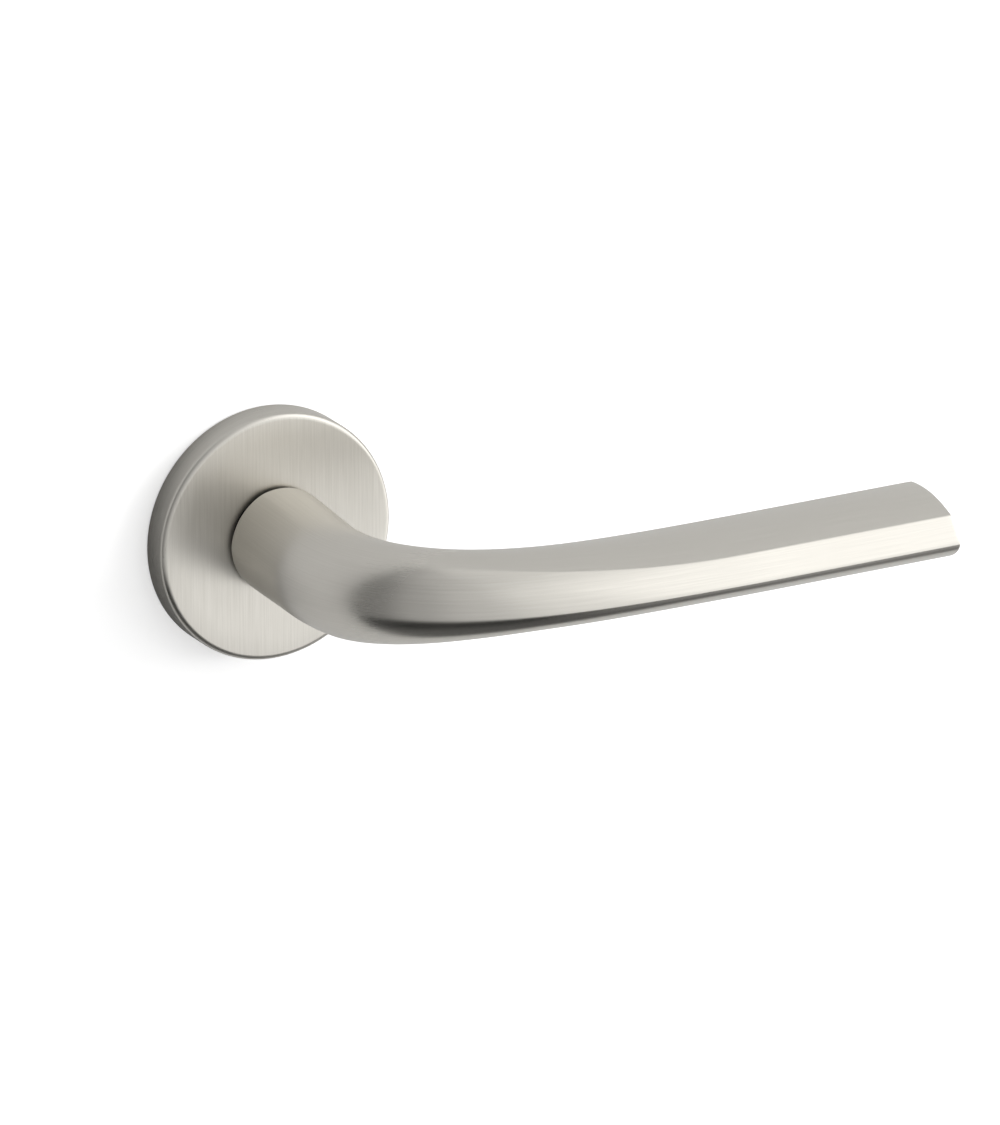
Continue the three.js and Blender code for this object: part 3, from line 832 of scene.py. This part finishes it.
        neck(self.shoulder, base)
        neck(self.shoulder + 0.06 * MM, base + 0.02 * MM)
        neck(self.shoulder + 0.5 * self.neck_chamfer, base + 0.62 * self.neck_chamfer)
        neck(self.shoulder + self.neck_chamfer + 0.1 * MM, self.neck_radius)
        for share in (0.06, 0.15, 0.3, 0.45, 0.6, 0.75, 0.9):
            neck(
                self.shoulder + self.neck_chamfer + (span - self.neck_chamfer) * share,
                mix(self.neck_radius, self.bend_radius, smooth(share)),
            )
        for centre, heading, along in self.bend_by_length():
            rings.append(self.ring(tuple(centre), tuple(heading), self.bend_radius, along))
        grip = self.grip_end_x - self.bend_end_x
        for share in (0.1, 0.25, 0.45, 0.65, 0.85, 0.97):
            x = self.bend_end_x + grip * share
            rings.append(self.ring((x, self.grip_standoff), across, self.bend_radius, 1.0))
        for inset, scale in self.tip_edge:
            x = self.grip_end_x - inset
            rings.append(
                self.ring((x, self.grip_standoff), across, self.bend_radius, 1.0, scale)
            )
        return rings

    def tenon_rings(self) -> list[list[Vector]]:
        """Returns the tenon's rings, from the shoulder back, over its end and into the bore."""
        angles = [math.atan2(place[1], -place[0]) for place, _, _ in self.section()]

        def flat_sided(radius: float, standoff: float) -> list[Vector]:
            """Draws a ring of the tenon with its two flats.

            Args:
                radius: the tenon's radius there.
                standoff: where the ring is.

            Returns:
                The ring's points in order.
            """
            points = []
            for angle in angles:
                x = radius * math.cos(angle)
                limit = min(radius, self.tenon_flat)
                points.append(
                    Vector((max(-limit, min(limit, x)), -standoff, radius * math.sin(angle)))
                )
            return points

        def square(side: float, standoff: float) -> list[Vector]:
            """Draws a ring of the square bore.

            Args:
                side: the bore's width.
                standoff: where the ring is.

            Returns:
                The ring's points in order.
            """
            points = []
            for angle in angles:
                x, z = math.cos(angle), math.sin(angle)
                reach = side / 2 / max(abs(x), abs(z))
                points.append(Vector((x * reach, -standoff, z * reach)))
            return points

        back = -self.tenon_back
        return [
            flat_sided(self.tenon_radius, self.shoulder),
            flat_sided(self.tenon_radius, self.groove[1]),
            flat_sided(self.groove_radius, self.groove[1]),
            flat_sided(self.groove_radius, self.groove[0]),
            flat_sided(self.tenon_radius, self.groove[0]),
            flat_sided(self.tenon_radius, back + self.tenon_chamfer),
            flat_sided(self.tenon_radius - self.tenon_chamfer, back),
            square(self.bore_side, back),
            square(self.bore_side, self.bore_end),
        ]

    def skin(self, shape: bmesh.types.BMesh, rings: list[list[Vector]]) -> None:
        """Joins rings into one skin and gives it a grain map along the lever.

        Args:
            shape: the mesh to add to.
            rings: the rings in order.
        """
        grain = shape.loops.layers.uv.new(GRAIN)
        grain_of: dict[bmesh.types.BMVert, Pair] = {}
        travelled = 0.0
        previous: list[bmesh.types.BMVert] = []
        for points in rings:
            corners = [shape.verts.new(point) for point in points]
            if previous:
                steps = [(a.co - b.co).length for a, b in zip(corners, previous)]
                travelled += sum(steps) / len(steps)
            around = 0.0
            for i, corner in enumerate(corners):
                grain_of[corner] = (around * GRAIN_SCALE, travelled * GRAIN_SCALE)
                around += (points[(i + 1) % len(points)] - points[i]).length
            for i in range(len(previous)):
                j = (i + 1) % len(corners)
                face = shape.faces.new((previous[i], previous[j], corners[j], corners[i]))
                for loop in face.loops:
                    u, v = grain_of[loop.vert]
                    if j == 0 and loop.vert in (previous[0], corners[0]):
                        u = around * GRAIN_SCALE
                    loop[grain].uv = (u, v)
            previous = corners

    def build(self, finishes: Finishes) -> bpy.types.Object:
        """Builds and dresses the lever.

        Args:
            finishes: the handle's materials.

        Returns:
            The lever's object.
        """
        shape = bmesh.new()
        self.skin(shape, self.tenon_rings()[::-1] + self.outer_rings())
        ends = [edge for edge in shape.edges if edge.is_boundary]
        bmesh.ops.holes_fill(shape, edges=ends, sides=0)
        bmesh.ops.recalc_face_normals(shape, faces=shape.faces)
        shape.normal_update()
        self.lay_end_grain(shape)
        self.keep_machined_edges(shape)
        piece = finished_object(shape, "lever_body", [finishes.lever], 60)
        rounding = piece.modifiers.new("surface", "SUBSURF")
        rounding.levels = self.rounding_levels
        rounding.render_levels = self.rounding_levels
        drill(piece, self.screw_drill())
        return piece

    def keep_machined_edges(self, shape: bmesh.types.BMesh) -> None:
        """Keeps the edges of the tenon and of the bore hard when the body is rounded.

        Args:
            shape: the lever's mesh.
        """
        crease = shape.edges.layers.float.new("crease_edge")
        behind_shoulder = self.shoulder + 0.01 * MM
        deepest = self.bore_end + 0.01 * MM

        def machined(place: Vector) -> bool:
            """Returns whether a corner belongs to the tenon or to the bore."""
            off_axis = max(abs(place.x), abs(place.z))
            in_bore = -place.y < deepest and off_axis < 0.51 * self.bore_side
            return -place.y < behind_shoulder or in_bore

        for edge in shape.edges:
            if all(machined(vert.co) for vert in edge.verts) and edge.calc_face_angle(0.0) > 0.5:
                edge[crease] = 1.0

    def lay_end_grain(self, shape: bmesh.types.BMesh) -> None:
        """Runs the grain straight up the grip's flat end.

        Args:
            shape: the lever's mesh.
        """
        grain = shape.loops.layers.uv[GRAIN]
        for face in shape.faces:
            if face.normal.x > 0.9 and face.calc_center_median().x > self.bend_end_x:
                for loop in face.loops:
                    place = loop.vert.co
                    loop[grain].uv = (place.y * GRAIN_SCALE, place.z * GRAIN_SCALE)

    def screw_drill(self) -> bmesh.types.BMesh:
        """Returns the set screw's hole, which runs up into the neck from below."""
        top, bottom = -0.5 * MM, -2 * self.neck_radius
        hole = bmesh.new()
        bmesh.ops.create_cone(
            hole, cap_ends=True, segments=self.drill_steps, radius1=self.screw_hole,
            radius2=self.screw_hole, depth=top - bottom,
        )
        middle = Vector((0, -self.screw_standoff, (top + bottom) / 2))
        bmesh.ops.translate(hole, verts=hole.verts, vec=middle)
        return hole


# ---------------------------------------------------------------- rose cover


@dataclass
class RoseCover:
    """The round cover: a shallow cup with a small rounded front edge."""

    radius: float = 26.0 * MM
    depth: float = 6.7 * MM
    wall: float = 1.0 * MM
    edge_radius: float = 1.2 * MM
    hole_radius: float = 10.2 * MM
    lip: float = 0.15 * MM
    edge_steps: int = 8
    steps: int = 192

    def profile(self) -> list[Pair]:
        """Returns the cup's section as radius and standoff, closed on itself."""
        points = [(self.radius - self.lip, 0.0), (self.radius, self.lip)]
        for i in range(self.edge_steps + 1):
            angle = math.pi / 2 * i / self.edge_steps
            points.append(
                (
                    self.radius - self.edge_radius * (1 - math.cos(angle)),
                    self.depth - self.edge_radius * (1 - math.sin(angle)),
                )
            )
        inner, front = self.radius - self.wall, self.depth - self.wall
        for share in (0.3, 0.6, 0.85):
            points.append((mix(self.radius - self.edge_radius, self.hole_radius, share), self.depth))
        points += [
            (self.hole_radius + self.lip, self.depth),
            (self.hole_radius, self.depth - self.lip),
            (self.hole_radius, front),
            (inner - self.edge_radius / 2, front),
            (inner, front - self.edge_radius / 2),
            (inner, 0.0),
        ]
        return points

    def build(self, finishes: Finishes) -> bpy.types.Object:
        """Builds and dresses the cover.

        Args:
            finishes: the handle's materials.

        Returns:
            The cover's object.
        """
        shape = bmesh.new()
        edges = ring_of(shape, (Vector((r, -s, 0)) for r, s in self.profile()))
        turn_round(shape, list(shape.verts) + edges, self.steps)
        self.lay_grain(shape)
        return finished_object(
            shape, "rose_cover_shell", [finishes.rose_face, finishes.rose_rim], 40
        )

    def lay_grain(self, shape: bmesh.types.BMesh) -> None:
        """Runs the grain straight up the flat faces and round the rim, each in its finish.

        Args:
            shape: the cover's mesh.
        """
        grain = shape.loops.layers.uv.new(GRAIN)
        for face in shape.faces:
            flat = abs(face.normal.y) > 0.9
            face.material_index = 0 if flat else 1
            middle = face.calc_center_median()
            home = math.atan2(middle.z, middle.x)
            for loop in face.loops:
                place = loop.vert.co
                if flat:
                    across, along = place.x, place.z
                else:
                    turn = math.atan2(place.z, place.x)
                    turn += 2 * math.pi * round((home - turn) / (2 * math.pi))
                    across, along = -place.y, turn * self.radius
                loop[grain].uv = (across * GRAIN_SCALE, along * GRAIN_SCALE)


# ---------------------------------------------------------------- spindle and fixings


@dataclass
class Spindle:
    """The square bar that goes through the door, with broken corners and ends."""

    side: float = 8 * MM
    corner: float = 0.8 * MM
    end_chamfer: float = 0.5 * MM
    back: float = -28 * MM
    front: float = 22 * MM
    corner_steps: int = 6
    corner_bulge: float = 0.12

    def ring(self, side: float, standoff: float) -> list[Vector]:
        """Draws the bar's outline, with each corner softly rounded.

        Args:
            side: the size across the flats.
            standoff: where it is.

        Returns:
            The outline's points in order.
        """
        half = side / 2
        inner = half - self.corner
        points = []
        for turn in range(4):
            quarter = math.pi / 2 * turn
            for step in range(self.corner_steps + 1):
                k = step / self.corner_steps
                bulge = self.corner_bulge * self.corner * arch(k)
                x = mix(half, inner, k) + bulge
                z = mix(inner, half, k) + bulge
                points.append(
                    Vector(
                        (
                            x * math.cos(quarter) - z * math.sin(quarter),
                            -standoff,
                            x * math.sin(quarter) + z * math.cos(quarter),
                        )
                    )
                )
        return points

    def build(self, finishes: Finishes) -> bpy.types.Object:
        """Builds and dresses the bar.

        Args:
            finishes: the handle's materials.

        Returns:
            The bar's object.
        """
        shape = bmesh.new()
        chamfer = self.end_chamfer
        end_side = self.side - 2 * chamfer
        loft(
            shape,
            [
                self.ring(end_side, self.back),
                self.ring(self.side, self.back + chamfer),
                self.ring(self.side, self.front - chamfer),
                self.ring(end_side, self.front),
            ],
        )
        return finished_object(shape, "spindle_bar", [finishes.by_slot[Slot.ZINC_PLATED]], 30)


@dataclass(frozen=True)
class Thread:
    """A helical thread cut into a shank between two standoffs.

    Ridge is how much of the pitch the slopes take, and the thread fades out over one pitch.
    """

    low: float
    high: float
    depth: float
    pitch: float
    ridge: float

    def cut(self, standoff: float, turn: float) -> float:
        """Works out how deep the thread is cut at one place.

        Args:
            standoff: where along the shank.
            turn: where round it, from 0 to 1.

        Returns:
            The depth.
        """
        place = (standoff / self.pitch - turn) % 1.0
        valley = min(1.0, abs(place - 0.5) * 2 / self.ridge)
        ends = min(
            smooth((standoff - self.low) / self.pitch), smooth((self.high - standoff) / self.pitch)
        )
        return self.depth * valley * ends


@dataclass(frozen=True)
class Recess:
    """A tapered cross recess in a screw's head."""

    reach: float
    width: float
    depth: float
    wall: float = 0.12 * MM
    taper_share: float = 0.45

    def sink(self, x: float, z: float) -> float:
        """Works out how deep the recess is at a place on the head.

        Args:
            x: the place across from the head's middle.
            z: the place up from the head's middle.

        Returns:
            The depth.
        """
        along, across = max(abs(x), abs(z)), min(abs(x), abs(z))
        inside = smooth((self.width / 2 - across) / self.wall + 1)
        taper = (self.reach / 2 - along) / (self.taper_share * self.reach)
        return self.depth * inside * min(1.0, max(0.0, taper)) ** 0.6


@dataclass
class TurnedPiece:
    """A piece turned about an axis that runs out of the door.

    The profile holds radius and standoff from the back to the front.
    """

    name: str
    profile: Sequence[Pair]
    at: Pair
    hollow: bool = False
    thread: Thread | None = None
    recess: Recess | None = None
    steps: int = 56
    rows_per_pitch: int = 8
    head_rows: int = 18

    def rows(self) -> list[Pair]:
        """Returns the profile with extra rows along the thread and across the head."""
        rows = [self.profile[0]]
        for start, end in zip(self.profile, self.profile[1:]):
            count = 1
            if self.thread and end[1] > self.thread.low and start[1] < self.thread.high:
                length = end[1] - start[1]
                count = max(1, round(length / self.thread.pitch * self.rows_per_pitch))
            elif self.recess and end == self.profile[-1]:
                count = self.head_rows
            for i in range(1, count + 1):
                rows.append((mix(start[0], end[0], i / count), mix(start[1], end[1], i / count)))
        return rows

    def place(self, radius: float, standoff: float, turn: float) -> Vector:
        """Places one corner, cut by the thread or sunk by the recess.

        Args:
            radius: its row's radius.
            standoff: its row's standoff.
            turn: where round the piece it is, from 0 to 1.

        Returns:
            The corner.
        """
        angle = 2 * math.pi * turn
        reach, rise = radius, standoff
        if self.thread and radius > 0:
            reach = max(radius * 0.2, radius - self.thread.cut(standoff, turn))
        if self.recess and standoff == self.profile[-1][1]:
            rise -= self.recess.sink(radius * math.cos(angle), radius * math.sin(angle))
        return seat(self.at, reach, angle, rise)

    def build(self, material: bpy.types.Material) -> bpy.types.Object:
        """Builds and dresses the piece.

        Args:
            material: its finish.

        Returns:
            The piece's object.
        """
        rings = [
            [self.place(radius, standoff, i / self.steps) for i in range(self.steps)]
            for radius, standoff in self.rows()
        ]
        shape = bmesh.new()
        loft(shape, rings, self.hollow)
        return finished_object(shape, self.name, [material], 38)


@dataclass(frozen=True)
class MachineScrew:
    """A through bolt with a domed head and a metric thread."""

    radius: float = 2 * MM
    back: float = -20 * MM
    point: float = 0.55 * MM
    thread_top: float = -1 * MM
    head_back: float = 1.65 * MM
    head_radius: float = 3.5 * MM
    head_edge: float = 0.1 * MM
    head_front: float = 3.65 * MM
    dome: tuple[Pair, ...] = (
        (0, 0.8 * MM), (0.12 * MM, 0.53 * MM), (0.42 * MM, 0.25 * MM), (0.9 * MM, 0),
    )  # how far in and back from the head's corner

    def piece(self, name: str, at: Pair) -> TurnedPiece:
        """Returns the screw.

        Args:
            name: its name.
            at: where its axis is.

        Returns:
            The screw, ready to build.
        """
        profile = [
            (0, self.back),
            (self.radius - self.point, self.back),
            (self.radius, self.back + self.point),
            (self.radius, self.thread_top),
            (self.radius, self.head_back),
            (self.head_radius - self.head_edge, self.head_back),
            (self.head_radius, self.head_back + self.head_edge),
        ]
        profile += [(self.head_radius - side, self.head_front - back) for side, back in self.dome]
        profile.append((0, self.head_front))
        thread = Thread(self.back - 0.2 * MM, self.thread_top, 0.34 * MM, 0.7 * MM, 0.9)
        recess = Recess(4.55 * MM, 0.9 * MM, 1.1 * MM)
        return TurnedPiece(name, profile, at, thread=thread, recess=recess)


@dataclass(frozen=True)
class BoltSleeve:
    """The threaded sleeve that a through bolt runs into, with broken edges."""

    inner: float = 2.1 * MM
    outer: float = 3.2 * MM
    back: float = -20.3 * MM
    front: float = -6.3 * MM
    inner_edge: float = 0.2 * MM
    outer_edge: float = 0.25 * MM

    def piece(self, name: str, at: Pair) -> TurnedPiece:
        """Returns the sleeve.

        Args:
            name: its name.
            at: where its axis is.

        Returns:
            The sleeve, ready to build.
        """
        profile = [
            (self.inner + self.inner_edge, self.back),
            (self.outer - self.outer_edge, self.back),
            (self.outer, self.back + self.outer_edge),
            (self.outer, self.front - self.outer_edge),
            (self.outer - self.outer_edge, self.front),
            (self.inner + self.inner_edge, self.front),
            (self.inner, self.front - self.inner_edge),
            (self.inner, self.back + self.inner_edge),
        ]
        return TurnedPiece(name, profile, at, hollow=True)


@dataclass(frozen=True)
class WoodScrew:
    """A countersunk wood screw with a coarse thread and a sharp point."""

    radius: float = 1.75 * MM
    tip: float = -14.3 * MM
    tip_radius: float = 0.3 * MM
    point_top: float = -11.4 * MM
    thread_top: float = -1.6 * MM
    seat: float = 0.55 * MM
    head_radius: float = 2.75 * MM
    head_edge: float = 1.55 * MM
    head_front: float = 1.7 * MM

    def piece(self, name: str, at: Pair) -> TurnedPiece:
        """Returns the screw.

        Args:
            name: its name.
            at: where its axis is.

        Returns:
            The screw, ready to build.
        """
        profile = [
            (0, self.tip),
            (self.tip_radius, self.tip + self.tip_radius),
            (self.radius, self.point_top),
            (self.radius, self.thread_top),
            (self.radius, self.seat),
            (self.head_radius, self.head_edge),
            (self.head_radius, self.head_front),
            (0, self.head_front),
        ]
        thread = Thread(self.tip - 1.2 * MM, self.thread_top, 0.6 * MM, 1.6 * MM, 0.45)
        recess = Recess(3.3 * MM, 0.8 * MM, 1.0 * MM)
        return TurnedPiece(name, profile, at, thread=thread, recess=recess)


@dataclass(frozen=True)
class Fixings:
    """The turned fixings: bolts and sleeves beside the spindle, wood screws above and below."""

    bolt_x: float = 19 * MM
    wood_screw_z: float = 19.9 * MM

    def by_node(self) -> dict[str, TurnedPiece]:
        """Returns each fixing by the node that it stands for."""
        pieces = {}
        for place, side in (("left", -1), ("right", 1)):
            at = (side * self.bolt_x, 0.0)
            pieces[f"bolt_{place}"] = MachineScrew().piece(f"machine_screw_{place}", at)
            sleeve = BoltSleeve().piece(f"bolt_sleeve_shell_{place}", at)
            pieces[f"bolt_sleeve_{place}"] = sleeve
        for place, side in (("upper", 1), ("lower", -1)):
            at = (0.0, side * self.wood_screw_z)
            pieces[f"wood_screw_{place}"] = WoodScrew().piece(f"countersunk_screw_{place}", at)
        return pieces


# ---------------------------------------------------------------- studio


@dataclass(frozen=True)
class LightBand:
    """One height of the studio's light: where it fades in, and its levels round the room.

    Rise is the sine of the elevation where the band starts and where it is full.
    """

    rise: Pair
    stops: tuple[Pair, ...]


@dataclass
class Studio:
    """Floor, wall, lights and camera."""

    azimuth: float = -29.0
    elevation: float = 20.0
    distance: float = 2.6
    lens: float = 413.5
    aim_right: float = 0.04799
    aim_down: float = 0.00698
    floor_drop: float = 1.0
    floor_reach: float = 30.0
    wall_gap: float = 0.25 * MM
    wall_hole: float = 25.4 * MM
    wall_reach: float = 2.0
    wall_steps: int = 128
    # Painted shade round the rose, seen only where the metal mirrors the wall: its middle and the
    # distances over which it fades out.
    painted_shade_middle: tuple[float, float, float] = (-5 * MM, 0, -4 * MM)
    painted_shade_reach: Pair = (22 * MM, 33 * MM)
    softbox_place: tuple[float, float, float] = (1.4, -0.65, 0.42)
    softbox_size: float = 1.2
    softbox_watts: float = 22.0
    light_bands: tuple[LightBand, ...] = (
        LightBand(
            (-1.0, -0.9),
            ((-180, 0.53), (-120, 0.30), (-60, 0.12), (60, 0.10), (105, 0.45), (180, 0.53)),
        ),
        LightBand(
            (-0.88, -0.72),
            ((-180, 0.55), (-145, 0.45), (-125, 0.02), (0, 0.01), (60, 0.45), (110, 0.6), (180, 0.60)),
        ),
        LightBand(
            (-0.54, -0.50),
            (
                (-180, 0.60), (-120, 0.40), (-95, 0.18), (-75, 0.22), (-45, 0.44), (-15, 0.64),
                (15, 1.00), (35, 1.38), (60, 1.78), (100, 1.75), (140, 0.85), (180, 0.66),
            ),
        ),
        LightBand(
            (0.72, 0.95),
            ((-180, 0.50), (-90, 0.32), (-30, 0.56), (30, 0.74), (100, 0.88), (180, 0.50)),
        ),
    )

    def camera(self) -> None:
        """Places the camera."""
        a, e = math.radians(self.azimuth), math.radians(self.elevation)
        back = Vector((math.sin(a) * math.cos(e), -math.cos(a) * math.cos(e), math.sin(e)))
        right = Vector((math.cos(a), math.sin(a), 0))
        up = back.cross(right)
        aim = right * self.aim_right - up * self.aim_down
        data = bpy.data.cameras.new("camera")
        data.lens = self.lens
        data.sensor_width = 36
        data.clip_start = 0.05
        data.clip_end = 100
        camera = bpy.data.objects.new("camera", data)
        camera.location = aim + back * self.distance
        camera.rotation_mode = "QUATERNION"
        camera.rotation_quaternion = (-back).to_track_quat("-Z", "Y")
        bpy.context.scene.collection.objects.link(camera)
        bpy.context.scene.camera = camera

    def paper(
        self, name: str, one_sided: bool, glow: float, mirrored_glow: float
    ) -> bpy.types.Material:
        """Returns the pale matt paper of the floor and the wall; as the metal mirrors it, the paper is
        a darker copy with painted shade near the rose.

        Args:
            name: the material's name.
            one_sided: leaves the sheet's back clear, so that it hides nothing from behind.
            glow: how much light the sheet adds of its own.
            mirrored_glow: the same light as the metal mirrors it.

        Returns:
            The material.
        """
        blank = BlankFinish(name)
        sketch, plain = blank.sketch, blank.shader
        plain.inputs["Base Color"].default_value = (0.85, 0.85, 0.85, 1)
        plain.inputs["Roughness"].default_value = 0.9
        # The paper as the metal mirrors it: a darker copy than the camera sees, painted shade for its
        # reflections.
        mirrored = sketch.add("BsdfPrincipled")
        for shader, strength in ((plain, glow), (mirrored, mirrored_glow)):
            shader.inputs["Specular IOR Level"].default_value = 0.0
            shader.inputs["Emission Color"].default_value = (1, 1, 1, 1)
            shader.inputs["Emission Strength"].default_value = strength
        # Painted shade: the mirrored paper darkens from 0.57 to 0.22 grey towards a point by the
        # rose's lower left, a contact shadow painted round the rose.
        outward = sketch.add("VectorMath", operation="DISTANCE")
        sketch.link(sketch.add("TexCoord").outputs["Object"], outward.inputs[0])
        outward.inputs[1].default_value = self.painted_shade_middle
        painted_shade = sketch.ranged(outward.outputs["Value"], self.painted_shade_reach, (0.0, 1.0))
        sketch.link(
            sketch.blended(painted_shade, (0.22, 0.22, 0.22), (0.57, 0.57, 0.57)),
            mirrored.inputs["Base Color"],
        )
        seen = sketch.add("MixShader")
        sketch.link(sketch.add("LightPath").outputs["Is Camera Ray"], seen.inputs["Fac"])
        sketch.link(mirrored.outputs["BSDF"], seen.inputs[1])
        sketch.link(plain.outputs["BSDF"], seen.inputs[2])
        surface = seen
        if one_sided:
            surface = sketch.add("MixShader")
            facing = sketch.add("NewGeometry").outputs["Backfacing"]
            sketch.link(facing, surface.inputs["Fac"])
            sketch.link(seen.outputs["Shader"], surface.inputs[1])
            sketch.link(sketch.add("BsdfTransparent").outputs["BSDF"], surface.inputs[2])
        sketch.link(surface.outputs["Shader"], blank.output.inputs["Surface"])
        return blank.material

    def floor(self) -> None:
        """Lays the floor."""
        shape = bmesh.new()
        bmesh.ops.create_grid(shape, x_segments=1, y_segments=1, size=self.floor_reach)
        bmesh.ops.translate(shape, verts=shape.verts, vec=Vector((0, 0, -self.floor_drop)))
        sheet = finished_object(shape, "floor", [self.paper("floor_paper", False, 0.35, 0.1)])
        sheet.visible_glossy = False

    def wall(self) -> None:
        """Stands the wall behind the rose, with a hole where the rose's back is."""
        shape = bmesh.new()
        radii = (self.wall_hole, 4 * self.wall_hole, self.wall_reach)
        corners = [shape.verts.new((radius, self.wall_gap, 0)) for radius in radii]
        edges = [shape.edges.new(pair) for pair in zip(corners, corners[1:])]
        turn_round(shape, corners + edges, self.wall_steps)
        if sum(face.normal.y for face in shape.faces) > 0:
            bmesh.ops.reverse_faces(shape, faces=shape.faces)
        finished_object(shape, "wall", [self.paper("wall_paper", True, 0.40, 0.03)])

    def ramp(
        self, sketch: NodeSketch, turn: bpy.types.NodeSocket, stops: Sequence[Pair]
    ) -> bpy.types.NodeSocket:
        """Adds a ramp of light levels round the room.

        Args:
            sketch: the world's nodes.
            turn: the direction round the room, from 0 behind the door, by the left, to 1.
            stops: turns in degrees, 0 straight out of the door and positive to the right,
                each with its level.

        Returns:
            The level in each direction.
        """
        node = sketch.add("ValToRGB")
        node.color_ramp.interpolation = "EASE"
        elements = node.color_ramp.elements
        while len(elements) < len(stops):
            elements.new(0.5)
        for element, (degrees, level) in zip(elements, stops):
            element.position = degrees / 360 + 0.5
            element.color = (level, level, level, 1)
        sketch.link(turn, node.inputs["Fac"])
        return node.outputs["Color"]

    def world(self) -> None:
        """Surrounds the scene with soft light: bright to the right, dim left, dark low in front."""
        world = bpy.data.worlds.new("studio")
        bpy.context.scene.world = world
        world.use_nodes = True
        sketch = NodeSketch(world.node_tree)
        output = sketch.add("OutputWorld")
        background = sketch.add("Background")
        sketch.link(background.outputs["Background"], output.inputs["Surface"])
        parts = sketch.add("SeparateXYZ")
        sketch.link(sketch.add("TexCoord").outputs["Generated"], parts.inputs["Vector"])
        outward = sketch.add("Math", operation="MULTIPLY")
        outward.inputs[1].default_value = -1.0
        sketch.link(parts.outputs["Y"], outward.inputs[0])
        heading = sketch.add("Math", operation="ARCTAN2")
        sketch.link(parts.outputs["X"], heading.inputs[0])
        sketch.link(outward.outputs["Value"], heading.inputs[1])
        turn = sketch.ranged(heading.outputs["Value"], (-math.pi, math.pi), (0.0, 1.0))
        height = parts.outputs["Z"]
        light = self.ramp(sketch, turn, self.light_bands[0].stops)
        for band in self.light_bands[1:]:
            reached = sketch.add("Mix", data_type="RGBA")
            sketch.link(sketch.ranged(height, band.rise, (0.0, 1.0)), reached.inputs[0])
            sketch.link(light, reached.inputs[6])
            sketch.link(self.ramp(sketch, turn, band.stops), reached.inputs[7])
            light = reached.outputs[2]
        sketch.link(light, background.inputs["Color"])

    def softbox(self) -> None:
        """Adds the wide lamp that grazes the wall from the right and rounds its shadow."""
        data = bpy.data.lights.new("softbox", "AREA")
        data.size = self.softbox_size
        data.energy = self.softbox_watts
        lamp = bpy.data.objects.new("softbox", data)
        lamp.location = self.softbox_place
        lamp.rotation_mode = "QUATERNION"
        lamp.rotation_quaternion = (-Vector(self.softbox_place)).to_track_quat("-Z", "Y")
        lamp.visible_glossy = False
        bpy.context.scene.collection.objects.link(lamp)

    def build(self) -> None:
        """Builds the whole studio."""
        bpy.context.scene.view_settings.view_transform = "Standard"
        self.camera()
        self.floor()
        self.wall()
        self.world()
        self.softbox()


# ---------------------------------------------------------------- assembly


@dataclass
class CarriedNodes:
    """The frame's own nodes that are shown as they are, each in its finish."""

    slot_of: dict[str, Slot] = field(
        default_factory=lambda: {
            row["node"]: Slot(row["material_slot"]) for row in frame["record"]["subparts"]
        }
    )

    def dress(self, finishes: Finishes, replaced: set[str]) -> None:
        """Gives each shown node its finish.

        Args:
            finishes: the handle's materials.
            replaced: the nodes that a new piece stands for.
        """
        for name, node in frame["nodes"].items():
            if name in replaced:
                continue
            material = finishes.by_slot[self.slot_of[name]]
            node.data.materials.clear()
            node.data.materials.append(material)
            log.info("dressed %s", name)


def adopt(piece: bpy.types.Object, body: Body, node: str) -> None:
    """Ties a new piece to its body and hides the node that it stands for.

    Args:
        piece: the new piece.
        body: the body that it rides on.
        node: the frame's node.
    """
    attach(piece, body.value)
    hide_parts(node)
    log.info("built %s for %s", piece.name, node)


def main() -> None:
    """Builds every piece, dresses the carried nodes and sets the studio."""
    studio = Studio()
    studio.build()
    finishes = Finishes()
    adopt(Lever().build(finishes), Body.HANDLE, "lever")
    adopt(RoseCover().build(finishes), Body.ROSE, "rose_cover")
    adopt(Spindle().build(finishes), Body.HANDLE, "spindle")
    fixings = Fixings().by_node()
    for node, fixing in fixings.items():
        plated = finishes.by_slot[Slot.ZINC_PLATED]
        adopt(fixing.build(plated), Body.ROSE, node)
    CarriedNodes().dress(finishes, {"lever", "rose_cover", "spindle", *fixings})


if __name__ == "__main__":
    main()
